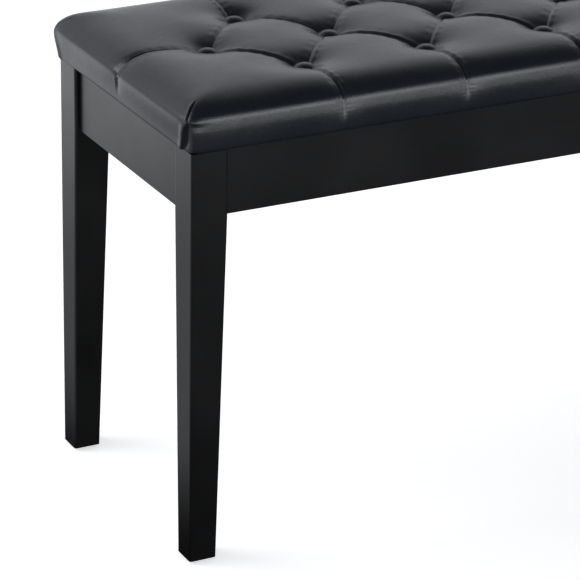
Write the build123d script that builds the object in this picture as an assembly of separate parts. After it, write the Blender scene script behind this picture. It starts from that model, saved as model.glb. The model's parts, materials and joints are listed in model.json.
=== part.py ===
"""Piano bench with a music box under a hinged, button-tufted seat lid.

Frame: +X runs along the bench, -Y is its front, +Z is up. The origin is on the floor under the middle
of the bench. All sizes are in millimetres.
"""

from build123d import *
import os

# ---- driving sizes -------------------------------------------------------------------------------
FRAME_LENGTH = 748.0        # over the outer faces of the legs, along X
FRAME_DEPTH = 324.0         # over the outer faces of the legs, along Y
LEG_TOP_Z = 448.0           # top of the legs and aprons
APRON_BOTTOM_Z = 378.0
LEG_TOP_WIDTH = 40.0        # square head of a leg
LEG_FOOT_WIDTH = 30.0       # square foot; only the two inner faces taper
LEG_EDGE_RADIUS = 3.0
FOOT_PAD_HEIGHT = 3.0
FOOT_PAD_RADIUS = 10.0
APRON_THICKNESS = 15.0
APRON_SETBACK = 5.0         # the aprons stand back from the legs' outer faces
SIDE_APRON_CORNER_RADIUS = 9.0

SEAT_OVERHANG = 6.0         # seat past the legs, all round
LID_BOTTOM_Z = 450.0
SEAT_TOP_Z = 502.0
SEAT_CORNER_RADIUS = 15.0
SEAT_TOP_EDGE_RADIUS = 18.0
LEATHER = 1.2
LEATHER_TURN_IN = 25.0      # leather folded under the lid board
LEATHER_UNDER = 1.0         # its thickness there, stretched
BOARD_THICKNESS = 12.0
BOARD_CORNER_RADIUS = 30.0  # leaves room for the leather's corner folds
DUST_COVER = 0.8

BUTTON_RADIUS = 10.0
BUTTON_FACE_Z = 494.0       # crown of a button
BUTTON_SEAT_Z = 488.5       # leather under a button
BUTTON_ROW_PITCH = 81.0     # between the rows, along Y
BUTTON_PITCH = 140.0        # along a row; the front and rear rows are half a pitch out of step
BUTTON_RIM = 2.0            # height of a button's edge
BUTTON_HOLE_RADIUS = 3.0    # through the board, for the twine
DIMPLE_TOP_RADIUS = 22.0
DIMPLE_BOTTOM_RADIUS = 11.0
TWINE_RADIUS = 0.8
KNOT_RADIUS = 2.2

FLOOR_Z = 386.0             # underside of the storage floor
FLOOR_THICKNESS = 4.0
GROOVE_DEPTH = 5.0

BLOCK_Z = (394.0, 434.0)    # corner blocks, bottom and top
BLOCK_REACH = 56.0          # along each apron, from the corner of the box
BLOCK_LIP = 8.0
BOLT_RADIUS = 3.0
BOLT_HEIGHTS = (404.0, 424.0)
BOLT_IN_LEG = 25.0
BOLT_PAST_NUT = 3.0
WASHER_RADIUS, WASHER_THICKNESS = 8.0, 1.2
NUT_FLATS, NUT_THICKNESS = 10.0, 5.0
BLOCK_SCREW_OFFSET = 44.0   # from the corner of the box, along the apron
BLOCK_SCREW_LENGTH = 22.0
DOWEL_RADIUS, DOWEL_LENGTH = 4.0, 30.0
DOWEL_HEIGHTS = (402.0, 430.0)
FIT_GAP = 0.05              # radial room round bolts and dowels

HINGE_X = 230.0             # middle of each hinge, either side
HINGE_LENGTH = 60.0
HINGE_KNUCKLES = 5
KNUCKLE_RADIUS = 3.0
HINGE_PIN_RADIUS = 1.5
HINGE_SHEET = 1.2
HINGE_LEAF = 25.0
KNUCKLE_GAP = 0.3
RUNNING_GAP = 0.08          # radial room round pins and rivets that turn
LID_OVER_PIN = 3.4          # underside of the lid above the hinge pin

STAY_PIVOT_Y, STAY_PIVOT_Z = 64.0, 414.0    # rivet on the box side
STAY_LID_Y, STAY_LID_Z = 54.0, 440.0        # rivet on the lid, lid closed
ARM_WIDTH, ARM_SHEET = 14.0, 2.0
STAY_PLATE = 1.5
LAYER_GAP = 0.3
RIVET_RADIUS, RIVET_HEAD_RADIUS, RIVET_HEAD = 2.5, 4.5, 1.0

PLATE_HALF_Y, PLATE_HALF_Z = 19.0, 12.0     # plate on the box side
PLATE_CORNER_RADIUS = 5.0
PLATE_SCREW_Y, PLATE_SCREW_Z = 14.0, 7.0    # its screws, from the rivet
BRACKET_HALF_Y = 16.0
BRACKET_REACH = 24.0        # flange of the bracket under the lid
BRACKET_EAR = 8.0
BRACKET_CORNER_RADIUS = 3.0
BRACKET_SCREW_INSET, BRACKET_SCREW_Y = 14.9, 10.0
BRACKET_SCREW_BITE = 12.0
HEAD_ROOM = 0.1             # under a rivet's turning head

SCREW_SHANK_RADIUS, SCREW_HEAD_RADIUS = 1.9, 3.6
SCREW_SEAT_GAP = 0.2        # room round a flush screw
APRON_SCREW_BITE = 10.0     # length of a screw in an apron
HINGE_SCREW_BITE = 12.0
HINGE_BOX_SCREW_DROP = 15.5     # screws below the pin on the box leaf
HINGE_LID_SCREW_INSET = 17.0    # screws in front of the pin on the lid leaf
FOOT_SCREW_TIP_Z, FOOT_SCREW_HEAD_Z = 18.0, 1.2
FOOT_PILOT_TOP_Z = 20.0
FOOT_PAD_CHAMFER = 0.8
PAD_DISH_Z, PAD_CONE_Z = 1.0, 2.7           # the screw's seat in a pad
PAD_SCREW_GAP = 0.4
BOLT_BLOCK_GAP = 0.3        # radial room round a bolt in its block
APRON_EDGE_RADIUS = 1.5
PANEL_LEG_GAP = 0.5         # room between the storage floor and the legs
CUT_PAST = 1.0              # how far a cut runs past the face it opens
BUMPER_RADIUS, BUMPER_HEIGHT = 6.0, 1.7

# ---- sizes worked out from them ------------------------------------------------------------------
HALF_X, HALF_Y = FRAME_LENGTH / 2, FRAME_DEPTH / 2
LEG_INNER_X, LEG_INNER_Y = HALF_X - LEG_TOP_WIDTH, HALF_Y - LEG_TOP_WIDTH
APRON_OUT_X, APRON_OUT_Y = HALF_X - APRON_SETBACK, HALF_Y - APRON_SETBACK
BOX_X, BOX_Y = APRON_OUT_X - APRON_THICKNESS, APRON_OUT_Y - APRON_THICKNESS
APRON_HEIGHT = LEG_TOP_Z - APRON_BOTTOM_Z
FOOT_X, FOOT_Y = HALF_X - LEG_FOOT_WIDTH / 2, HALF_Y - LEG_FOOT_WIDTH / 2
SEAT_LENGTH = FRAME_LENGTH + 2 * SEAT_OVERHANG
SEAT_DEPTH = FRAME_DEPTH + 2 * SEAT_OVERHANG
BOARD_BOTTOM_Z = LID_BOTTOM_Z + LEATHER_UNDER
BOARD_TOP_Z = BOARD_BOTTOM_Z + BOARD_THICKNESS
PIN_Y = APRON_OUT_Y + KNUCKLE_RADIUS + KNUCKLE_GAP
PIN_Z = LID_BOTTOM_Z - LID_OVER_PIN
LEG_MIDDLE_X, LEG_MIDDLE_Y = HALF_X - LEG_TOP_WIDTH / 2, HALF_Y - LEG_TOP_WIDTH / 2
OUTER_ROW_COLUMNS = [step * BUTTON_PITCH for step in (-1.5, -0.5, 0.5, 1.5)]
MIDDLE_ROW_COLUMNS = [step * BUTTON_PITCH for step in (-2, -1, 0, 1, 2)]
LOWER_LAYER = STAY_PLATE + LAYER_GAP            # depth of the lower arm from the box side
UPPER_LAYER = LOWER_LAYER + ARM_SHEET + LAYER_GAP
# The stay's two arms make a parallelogram with the box side and the lid, so each arm turns at a fixed
# ratio to the lid: the lower one with it, the upper one keeps its slope.
ELBOW_Y = STAY_PIVOT_Y + STAY_LID_Y - PIN_Y
ELBOW_Z = STAY_PIVOT_Z + STAY_LID_Z - PIN_Z

CORNERS = {"front_left": (-1, -1), "front_right": (1, -1), "rear_left": (-1, 1), "rear_right": (1, 1)}
SIDES = {"left": -1, "right": 1}


def cylinder(radius, start, end):
    """A round bar between two points."""
    start, end = Vector(*start), Vector(*end)
    run = end - start
    return extrude(Plane(origin=start, z_dir=run) * Circle(radius), amount=run.length)


def block(low, high):
    """A box between two corners."""
    size = [b - a for a, b in zip(low, high)]
    middle = [(a + b) / 2 for a, b in zip(low, high)]
    return Pos(*middle) * Box(*size)


def hole_along_x(radius, x0, x1, y, z):
    """The space of a hole between two X faces, a little past each."""
    return cylinder(radius, (x0 - CUT_PAST, y, z), (x1 + CUT_PAST, y, z))


def group(solids):
    """Separate solids that share one node."""
    return Compound(children=list(solids))


def save(name, shape):
    """Writes one sub-part."""
    shape.label = name
    export_step(shape, f"parts/{name}.step")


def screw(tip, head):
    """A flush wood screw from its tip to the face of its head."""
    tip, head = Vector(*tip), Vector(*head)
    away = (tip - head).normalized()
    face = Plane(origin=head, z_dir=away)
    depth = SCREW_HEAD_RADIUS - SCREW_SHANK_RADIUS
    top = loft([face * Circle(SCREW_HEAD_RADIUS), face.offset(depth) * Circle(SCREW_SHANK_RADIUS)])
    shank = cylinder(SCREW_SHANK_RADIUS, head, tip - away * depth)
    point = loft([
        Plane(origin=tip - away * depth, z_dir=away) * Circle(SCREW_SHANK_RADIUS),
        Plane(origin=tip, z_dir=away) * Circle(SCREW_SHANK_RADIUS / 4),
    ])
    return top + shank + point


# ---- frame ---------------------------------------------------------------------------------------
def bolt_axis(corner):
    """The unit vector of a corner's bolts, from the leg towards the middle of the box."""
    sx, sy = CORNERS[corner]
    return Vector(-sx, -sy, 0).normalized()


def leg(corner):
    """A square leg whose inner faces taper below the aprons, drilled for its bolts and dowels."""
    sx, sy = CORNERS[corner]
    head = Plane.XY.offset(APRON_BOTTOM_Z) * Pos(sx * LEG_MIDDLE_X, sy * LEG_MIDDLE_Y) * RectangleRounded(
        LEG_TOP_WIDTH, LEG_TOP_WIDTH, LEG_EDGE_RADIUS
    )
    foot = Plane.XY.offset(FOOT_PAD_HEIGHT) * Pos(sx * FOOT_X, sy * FOOT_Y) * RectangleRounded(
        LEG_FOOT_WIDTH, LEG_FOOT_WIDTH, LEG_EDGE_RADIUS
    )
    shape = extrude(head, amount=APRON_HEIGHT) + loft([foot, head])
    inner_corner = Vector(sx * LEG_INNER_X, sy * LEG_INNER_Y, 0)
    for z in BOLT_HEIGHTS:
        mouth = inner_corner + Vector(0, 0, z) + bolt_axis(corner) * CUT_PAST
        end = inner_corner + Vector(0, 0, z) - bolt_axis(corner) * (BOLT_IN_LEG + CUT_PAST)
        shape -= cylinder(BOLT_RADIUS + FIT_GAP, end, mouth)
    for dowel_start, dowel_end in dowel_lines(corner):
        shape -= cylinder(DOWEL_RADIUS + FIT_GAP, dowel_start, dowel_end)
    shape -= cylinder(
        SCREW_SHANK_RADIUS + FIT_GAP,
        (sx * FOOT_X, sy * FOOT_Y, 0),
        (sx * FOOT_X, sy * FOOT_Y, FOOT_PILOT_TOP_Z),
    )
    return shape


def dowel_lines(corner):
    """Start and end of the four dowels that join a leg to its two aprons."""
    sx, sy = CORNERS[corner]
    half = DOWEL_LENGTH / 2
    for z in DOWEL_HEIGHTS:
        y = sy * (APRON_OUT_Y - APRON_THICKNESS / 2)
        yield (sx * (LEG_INNER_X - half), y, z), (sx * (LEG_INNER_X + half), y, z)
        x = sx * (APRON_OUT_X - APRON_THICKNESS / 2)
        yield (x, sy * (LEG_INNER_Y - half), z), (x, sy * (LEG_INNER_Y + half), z)


def floor_groove():
    """The panel-shaped space that the storage floor fills in the aprons."""
    return block(
        (-BOX_X - GROOVE_DEPTH, -BOX_Y - GROOVE_DEPTH, FLOOR_Z),
        (BOX_X + GROOVE_DEPTH, BOX_Y + GROOVE_DEPTH, FLOOR_Z + FLOOR_THICKNESS),
    )


def apron_drillings():
    """Everything drilled into the aprons: dowels, block screws and hinge screws."""
    drills = []
    for corner in CORNERS:
        drills += [cylinder(DOWEL_RADIUS + FIT_GAP, a, b) for a, b in dowel_lines(corner)]
        lines = block_screw_lines(corner)
        drills += [cylinder(SCREW_SHANK_RADIUS + FIT_GAP, head, tip) for tip, head in lines]
    drills += [countersink(tip, head) for tip, head in [*box_hinge_screw_lines(), *stay_box_screw_lines()]]
    return drills


def long_apron(sy):
    """The front (sy -1) or rear (sy 1) rail of the box."""
    shape = block(
        (-LEG_INNER_X, min(sy * BOX_Y, sy * APRON_OUT_Y), APRON_BOTTOM_Z),
        (LEG_INNER_X, max(sy * BOX_Y, sy * APRON_OUT_Y), LEG_TOP_Z),
    )
    shape = fillet(shape.edges().filter_by(Axis.X).group_by(Axis.Z)[0], APRON_EDGE_RADIUS)
    return shape - floor_groove() - apron_drillings()


def side_apron(sx):
    """An end rail, with its two lower corners rounded where it meets the legs."""
    shape = block(
        (min(sx * BOX_X, sx * APRON_OUT_X), -LEG_INNER_Y, APRON_BOTTOM_Z),
        (max(sx * BOX_X, sx * APRON_OUT_X), LEG_INNER_Y, LEG_TOP_Z),
    )
    shape = fillet(shape.edges().filter_by(Axis.X).group_by(Axis.Z)[0], SIDE_APRON_CORNER_RADIUS)
    return shape - floor_groove() - apron_drillings()


def storage_floor():
    """A thin panel held in the aprons' grooves and notched round the legs."""
    shape = floor_groove()
    for sx, sy in CORNERS.values():
        xs = sorted((sx * (LEG_INNER_X - PANEL_LEG_GAP), sx * HALF_X))
        ys = sorted((sy * (LEG_INNER_Y - PANEL_LEG_GAP), sy * HALF_Y))
        shape -= block((xs[0], ys[0], 0), (xs[1], ys[1], LEG_TOP_Z))
    return shape


def corner_point(corner, along_x, along_y, z):
    """A point measured from an inner corner of the box, into the box."""
    sx, sy = CORNERS[corner]
    return (sx * (BOX_X - along_x), sy * (BOX_Y - along_y), z)


def block_screw_lines(corner):
    """Tip and head of the two screws that hold a corner block to its aprons."""
    z = sum(BLOCK_Z) / 2
    along, tip, head = BLOCK_SCREW_OFFSET, -APRON_SCREW_BITE, BLOCK_SCREW_LENGTH - APRON_SCREW_BITE
    yield corner_point(corner, along, tip, z), corner_point(corner, along, head, z)
    yield corner_point(corner, tip, along, z), corner_point(corner, head, along, z)


def corner_block(corner):
    """A hardwood block across an inner corner, notched over the leg and drilled for its bolts."""
    leg_room = BOX_X - LEG_INNER_X
    outline = [
        (leg_room, 0), (BLOCK_REACH, 0), (BLOCK_REACH, BLOCK_LIP), (BLOCK_LIP, BLOCK_REACH),
        (0, BLOCK_REACH), (0, leg_room), (leg_room, leg_room),
    ]
    corners = [corner_point(corner, u, v, BLOCK_Z[0]) for u, v in outline]
    face = make_face(Polyline(*corners, close=True))
    shape = extrude(face, amount=BLOCK_Z[1] - BLOCK_Z[0], dir=(0, 0, 1))
    for z in BOLT_HEIGHTS:
        far = corner_point(corner, BLOCK_REACH, BLOCK_REACH, z)
        shape -= cylinder(BOLT_RADIUS + BOLT_BLOCK_GAP, corner_point(corner, 0, 0, z), far)
    for tip, head in block_screw_lines(corner):
        line = Vector(*head) - Vector(*tip)
        seat = Vector(*head) - line.normalized() * (SCREW_HEAD_RADIUS - SCREW_SHANK_RADIUS)
        shape -= cylinder(SCREW_SHANK_RADIUS + FIT_GAP, tip, head)
        shape -= cylinder(SCREW_HEAD_RADIUS + PAD_SCREW_GAP, seat, Vector(*head) + line)
    return shape


def bolt_seat(corner, z):
    """Where a bolt leaves the sloping face of its corner block."""
    half = (BLOCK_REACH + BLOCK_LIP) / 2
    return Vector(*corner_point(corner, half, half, z))


def leg_bolts():
    """Two hanger bolts in each leg."""
    bolts = []
    for corner, (sx, sy) in CORNERS.items():
        out = bolt_axis(corner)
        for z in BOLT_HEIGHTS:
            start = Vector(sx * LEG_INNER_X, sy * LEG_INNER_Y, z) - out * BOLT_IN_LEG
            end = bolt_seat(corner, z) + out * (WASHER_THICKNESS + NUT_THICKNESS + BOLT_PAST_NUT)
            bolts.append(cylinder(BOLT_RADIUS, start, end))
    return group(bolts)


def leg_washers():
    """A washer under each nut."""
    washers = []
    for corner in CORNERS:
        out = bolt_axis(corner)
        for z in BOLT_HEIGHTS:
            seat = bolt_seat(corner, z)
            ring = Circle(WASHER_RADIUS) - Circle(BOLT_RADIUS + SCREW_SEAT_GAP)
            washers.append(extrude(Plane(origin=seat, z_dir=out) * ring, amount=WASHER_THICKNESS))
    return group(washers)


def leg_nuts():
    """A hexagon nut on each hanger bolt."""
    nuts = []
    for corner in CORNERS:
        out = bolt_axis(corner)
        for z in BOLT_HEIGHTS:
            seat = bolt_seat(corner, z) + out * WASHER_THICKNESS
            hexagon = RegularPolygon(NUT_FLATS / 2, 6, major_radius=False) - Circle(BOLT_RADIUS + FIT_GAP)
            nuts.append(extrude(Plane(origin=seat, z_dir=out) * hexagon, amount=NUT_THICKNESS))
    return group(nuts)


def foot_pad(corner):
    """A rubber pad under a leg, dished for its screw."""
    sx, sy = CORNERS[corner]
    x, y = sx * FOOT_X, sy * FOOT_Y
    shape = cylinder(FOOT_PAD_RADIUS, (x, y, 0), (x, y, FOOT_PAD_HEIGHT))
    shape = chamfer(shape.edges().group_by(Axis.Z)[0], FOOT_PAD_CHAMFER)
    head_room, shank_room = SCREW_HEAD_RADIUS + PAD_SCREW_GAP, SCREW_SHANK_RADIUS + PAD_SCREW_GAP
    dish = cylinder(head_room, (x, y, 0), (x, y, PAD_DISH_Z))
    cone = loft([
        Plane(origin=(x, y, PAD_DISH_Z)) * Circle(head_room),
        Plane(origin=(x, y, PAD_CONE_Z)) * Circle(shank_room),
    ])
    return shape - dish - cone - cylinder(shank_room, (x, y, 0), (x, y, FOOT_PAD_HEIGHT))


def foot_screws():
    """One flush screw through each foot pad."""
    return group(
        screw((sx * FOOT_X, sy * FOOT_Y, FOOT_SCREW_TIP_Z), (sx * FOOT_X, sy * FOOT_Y, FOOT_SCREW_HEAD_Z))
        for sx, sy in CORNERS.values()
    )


def lid_bumpers():
    """A thin rubber button on the head of each leg, under the lid."""
    return group(
        cylinder(
            BUMPER_RADIUS,
            (sx * LEG_MIDDLE_X, sy * LEG_MIDDLE_Y, LEG_TOP_Z),
            (sx * LEG_MIDDLE_X, sy * LEG_MIDDLE_Y, LEG_TOP_Z + BUMPER_HEIGHT),
        )
        for sx, sy in CORNERS.values()
    )


# ---- lid -----------------------------------------------------------------------------------------
def button_places():
    """X and Y of every button, row by row."""
    return {
        "front": [(x, -BUTTON_ROW_PITCH) for x in OUTER_ROW_COLUMNS],
        "middle": [(x, 0.0) for x in MIDDLE_ROW_COLUMNS],
        "rear": [(x, BUTTON_ROW_PITCH) for x in OUTER_ROW_COLUMNS],
    }


def all_buttons():
    """X and Y of every button in one list."""
    return [place for row in button_places().values() for place in row]


def cushion_form(inset, bottom, skin_below_buttons):
    """The seat's outer shape, or the foam's inside it, with a dimple at each button."""
    top = SEAT_TOP_Z - inset
    outline = RectangleRounded(
        SEAT_LENGTH - 2 * inset, SEAT_DEPTH - 2 * inset, SEAT_CORNER_RADIUS - inset
    )
    shape = extrude(Plane.XY.offset(bottom) * outline, amount=top - bottom)
    shape = fillet(shape.edges().group_by(Axis.Z)[-1], SEAT_TOP_EDGE_RADIUS - inset)
    dimple_floor = BUTTON_SEAT_Z - skin_below_buttons
    for x, y in all_buttons():
        shape -= loft([
            Plane(origin=(x, y, dimple_floor)) * Circle(DIMPLE_BOTTOM_RADIUS + inset),
            Plane(origin=(x, y, SEAT_TOP_Z + CUT_PAST)) * Circle(DIMPLE_TOP_RADIUS + inset),
        ])
    return shape


def seat_cover():
    """The leather: over the foam, down round the board and folded under its edge."""
    outside = cushion_form(0, LID_BOTTOM_Z, 0)
    inside = cushion_form(LEATHER, BOARD_BOTTOM_Z, LEATHER)
    opening = block(
        (-SEAT_LENGTH / 2 + LEATHER_TURN_IN, -SEAT_DEPTH / 2 + LEATHER_TURN_IN, LID_BOTTOM_Z - CUT_PAST),
        (SEAT_LENGTH / 2 - LEATHER_TURN_IN, SEAT_DEPTH / 2 - LEATHER_TURN_IN, BOARD_BOTTOM_Z),
    )
    shape = outside - inside - opening
    holes = [
        cylinder(TWINE_RADIUS + SCREW_SEAT_GAP, (x, y, BOARD_TOP_Z), (x, y, BUTTON_SEAT_Z + CUT_PAST))
        for x, y in all_buttons()
    ]
    return shape - holes - [countersink(tip, head) for tip, head in lid_hinge_screw_lines()]


def seat_foam():
    """The foam block between the board and the leather."""
    shape = cushion_form(LEATHER, BOARD_TOP_Z, LEATHER)
    return shape - [
        cylinder(TWINE_RADIUS + SCREW_SEAT_GAP, (x, y, BOARD_TOP_Z - CUT_PAST), (x, y, BUTTON_SEAT_Z))
        for x, y in all_buttons()
    ]


def lid_board():
    """The board under the foam, drilled for the twine and the screws."""
    outline = RectangleRounded(
        SEAT_LENGTH - 2 * LEATHER, SEAT_DEPTH - 2 * LEATHER, BOARD_CORNER_RADIUS
    )
    shape = extrude(Plane.XY.offset(BOARD_BOTTOM_Z) * outline, amount=BOARD_THICKNESS)
    low, high = BOARD_BOTTOM_Z - CUT_PAST, BOARD_TOP_Z + CUT_PAST
    holes = [cylinder(BUTTON_HOLE_RADIUS, (x, y, low), (x, y, high)) for x, y in all_buttons()]
    for tip, head in [*lid_hinge_screw_lines(), *stay_lid_screw_lines()]:
        holes.append(cylinder(SCREW_SHANK_RADIUS + FIT_GAP, head, tip))
    return shape - holes


def dust_cover():
    """The thin cloth panel that closes the lid's underside."""
    shape = block(
        (-SEAT_LENGTH / 2 + LEATHER_TURN_IN, -SEAT_DEPTH / 2 + LEATHER_TURN_IN, BOARD_BOTTOM_Z - DUST_COVER),
        (SEAT_LENGTH / 2 - LEATHER_TURN_IN, SEAT_DEPTH / 2 - LEATHER_TURN_IN, BOARD_BOTTOM_Z),
    )
    lines = [*lid_hinge_screw_lines(), *stay_lid_screw_lines()]
    return shape - [countersink(tip, head) for tip, head in lines]


def button(x, y):
    """A domed covered button."""
    height = BUTTON_FACE_Z - BUTTON_SEAT_Z
    dome = height - BUTTON_RIM
    sphere_radius = (BUTTON_RADIUS ** 2 + dome ** 2) / (2 * dome)
    body = cylinder(BUTTON_RADIUS, (x, y, BUTTON_SEAT_Z), (x, y, BUTTON_FACE_Z))
    return body & (Pos(x, y, BUTTON_FACE_Z - sphere_radius) * Sphere(sphere_radius))


def button_twine():
    """The twine that pulls each button down, tied off under the board."""
    ties = []
    for x, y in all_buttons():
        line = cylinder(TWINE_RADIUS, (x, y, BOARD_BOTTOM_Z), (x, y, BUTTON_SEAT_Z))
        knot = cylinder(KNOT_RADIUS, (x, y, BOARD_BOTTOM_Z), (x, y, BOARD_BOTTOM_Z + KNOT_RADIUS))
        ties.append(line + knot)
    return group(ties)


# ---- hinges --------------------------------------------------------------------------------------
def knuckle_spans(sx, keep):
    """X ranges of a hinge's knuckles that belong to one leaf: keep 0 the box leaf, 1 the lid leaf."""
    pitch = HINGE_LENGTH / HINGE_KNUCKLES
    left = sx * HINGE_X - HINGE_LENGTH / 2
    for k in range(HINGE_KNUCKLES):
        if k % 2 == keep:
            yield left + k * pitch + KNUCKLE_GAP / 2, left + (k + 1) * pitch - KNUCKLE_GAP / 2


def hinge_screw_columns(sx):
    """X of a hinge leaf's three screws."""
    return [sx * HINGE_X + step * HINGE_LENGTH / 3 for step in (-1, 0, 1)]


def box_hinge_screw_lines():
    """Tip and head of the screws through the box leaves, into the rear apron."""
    for sx in SIDES.values():
        for x in hinge_screw_columns(sx):
            y, z = APRON_OUT_Y, PIN_Z - HINGE_BOX_SCREW_DROP
            yield (x, y - HINGE_SCREW_BITE, z), (x, y + HINGE_SHEET, z)


def lid_hinge_screw_lines():
    """Tip and head of the screws through the lid leaves, into the lid board."""
    for sx in SIDES.values():
        for x in hinge_screw_columns(sx):
            y, head_z = PIN_Y - HINGE_LID_SCREW_INSET, LID_BOTTOM_Z - HINGE_SHEET
            yield (x, y, head_z + HINGE_SCREW_BITE), (x, y, head_z)


def countersink(tip, head):
    """The seat that a flush screw's head lies in."""
    away = (Vector(*tip) - Vector(*head)).normalized()
    face = Plane(origin=Vector(*head) - away * HEAD_ROOM, z_dir=away)
    depth = SCREW_HEAD_RADIUS - SCREW_SHANK_RADIUS + HEAD_ROOM
    cone = loft([
        face * Circle(SCREW_HEAD_RADIUS + SCREW_SEAT_GAP),
        face.offset(depth) * Circle(SCREW_SHANK_RADIUS + SCREW_SEAT_GAP),
    ])
    return cone + cylinder(SCREW_SHANK_RADIUS + SCREW_SEAT_GAP, head, tip)


def box_leaf(sx):
    """The leaf screwed to the back of the rear apron, with three knuckles."""
    x0, x1 = sx * HINGE_X - HINGE_LENGTH / 2, sx * HINGE_X + HINGE_LENGTH / 2
    shape = block((x0, APRON_OUT_Y, PIN_Z - HINGE_LEAF), (x1, APRON_OUT_Y + HINGE_SHEET, PIN_Z))
    clear = KNUCKLE_RADIUS + KNUCKLE_GAP
    for a, b in knuckle_spans(sx, 1):
        gap = KNUCKLE_GAP
        shape -= block((a - gap, APRON_OUT_Y, PIN_Z - clear), (b + gap, PIN_Y + clear, PIN_Z + clear))
    for a, b in knuckle_spans(sx, 0):
        shape += cylinder(KNUCKLE_RADIUS, (a, PIN_Y, PIN_Z), (b, PIN_Y, PIN_Z))
    shape -= hole_along_x(HINGE_PIN_RADIUS + FIT_GAP, x0, x1, PIN_Y, PIN_Z)
    for tip, head in box_hinge_screw_lines():
        if x0 < tip[0] < x1:
            shape -= countersink(tip, head)
    return shape


def lid_leaf(sx):
    """The leaf screwed under the lid, with two knuckles."""
    x0, x1 = sx * HINGE_X - HINGE_LENGTH / 2, sx * HINGE_X + HINGE_LENGTH / 2
    shape = block((x0, PIN_Y - HINGE_LEAF, LID_BOTTOM_Z - HINGE_SHEET), (x1, PIN_Y, LID_BOTTOM_Z))
    clear = KNUCKLE_RADIUS + KNUCKLE_GAP
    for a, b in knuckle_spans(sx, 0):
        gap = KNUCKLE_GAP
        shape -= block((a - gap, PIN_Y - clear, PIN_Z - clear), (b + gap, PIN_Y + clear, LID_BOTTOM_Z))
    for a, b in knuckle_spans(sx, 1):
        shape += cylinder(KNUCKLE_RADIUS, (a, PIN_Y, PIN_Z), (b, PIN_Y, PIN_Z))
    shape -= hole_along_x(HINGE_PIN_RADIUS + RUNNING_GAP, x0, x1, PIN_Y, PIN_Z)
    for tip, head in lid_hinge_screw_lines():
        if x0 < tip[0] < x1:
            shape -= countersink(tip, head)
    return shape


def hinge_pin(sx):
    """The pin through both leaves' knuckles."""
    x0, x1 = sx * HINGE_X - HINGE_LENGTH / 2, sx * HINGE_X + HINGE_LENGTH / 2
    return cylinder(HINGE_PIN_RADIUS, (x0, PIN_Y, PIN_Z), (x1, PIN_Y, PIN_Z))


# ---- lid stays -----------------------------------------------------------------------------------
def layer(sx, depth_from_wall, thickness):
    """The X range of a stay's layer, counted from the inner face of a side apron."""
    a = sx * (BOX_X - depth_from_wall)
    b = sx * (BOX_X - depth_from_wall - thickness)
    return min(a, b), max(a, b)


def flat_link(sx, depth, start, end, holes):
    """A flat arm with round ends between two (y, z) points, with a hole at each."""
    x0, x1 = layer(sx, depth, ARM_SHEET)
    radius = ARM_WIDTH / 2
    along = Vector(0, end[0] - start[0], end[1] - start[1])
    across = Vector(0, -along.Z, along.Y).normalized() * radius
    a, b = Vector(x0, *start), Vector(x0, *end)
    side = make_face(Polyline(a + across, b + across, b - across, a - across, close=True))
    shape = extrude(side, amount=ARM_SHEET, dir=(1, 0, 0))
    for point in (start, end):
        shape += cylinder(radius, (x0, *point), (x1, *point))
    for point, hole in zip((start, end), holes):
        shape -= hole_along_x(hole, x0, x1, *point)
    return shape


def lower_arm(sx):
    """The arm from the box side to the elbow."""
    ends = (STAY_PIVOT_Y, STAY_PIVOT_Z), (ELBOW_Y, ELBOW_Z)
    return flat_link(sx, LOWER_LAYER, *ends, (RIVET_RADIUS + RUNNING_GAP, RIVET_RADIUS + FIT_GAP))


def upper_arm(sx):
    """The arm from the elbow to the lid."""
    ends = (ELBOW_Y, ELBOW_Z), (STAY_LID_Y, STAY_LID_Z)
    return flat_link(sx, UPPER_LAYER, *ends, (RIVET_RADIUS + RUNNING_GAP, RIVET_RADIUS + RUNNING_GAP))


def stay_rivet(sx, y, z, start, end, outer_head, inner_head):
    """A rivet across the stay's layers, from start to end deep, with a head at either end."""
    x0, x1 = layer(sx, start, end - start)
    shape = cylinder(RIVET_RADIUS, (x0, y, z), (x1, y, z))
    if outer_head:
        h0, h1 = layer(sx, start - RIVET_HEAD, RIVET_HEAD)
        shape += cylinder(RIVET_HEAD_RADIUS, (h0, y, z), (h1, y, z))
    if inner_head:
        h0, h1 = layer(sx, end, RIVET_HEAD)
        shape += cylinder(RIVET_HEAD_RADIUS, (h0, y, z), (h1, y, z))
    return shape


def box_rivet(sx):
    """The rivet that the lower arm turns on, fixed in the box plate."""
    end = LOWER_LAYER + ARM_SHEET + HEAD_ROOM
    return stay_rivet(sx, STAY_PIVOT_Y, STAY_PIVOT_Z, SCREW_SEAT_GAP, end, False, True)


def elbow_rivet(sx):
    """The rivet fixed in the lower arm that the upper arm turns on."""
    end = UPPER_LAYER + ARM_SHEET + HEAD_ROOM
    return stay_rivet(sx, ELBOW_Y, ELBOW_Z, LOWER_LAYER, end, True, True)


def lid_rivet(sx):
    """The rivet fixed in the lid bracket that the upper arm turns on."""
    end = UPPER_LAYER + ARM_SHEET + HEAD_ROOM
    return stay_rivet(sx, STAY_LID_Y, STAY_LID_Z, LOWER_LAYER, end, True, True)


def box_plate(sx):
    """The stay's plate on the inner face of a side apron."""
    x0, x1 = layer(sx, 0, STAY_PLATE)
    shape = block(
        (x0, STAY_PIVOT_Y - PLATE_HALF_Y, STAY_PIVOT_Z - PLATE_HALF_Z),
        (x1, STAY_PIVOT_Y + PLATE_HALF_Y, STAY_PIVOT_Z + PLATE_HALF_Z),
    )
    shape = fillet(shape.edges().filter_by(Axis.X), PLATE_CORNER_RADIUS)
    shape -= hole_along_x(RIVET_RADIUS + FIT_GAP, x0, x1, STAY_PIVOT_Y, STAY_PIVOT_Z)
    for tip, head in stay_box_screw_lines():
        if tip[0] * sx > 0:
            shape -= countersink(tip, head)
    return shape


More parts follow.
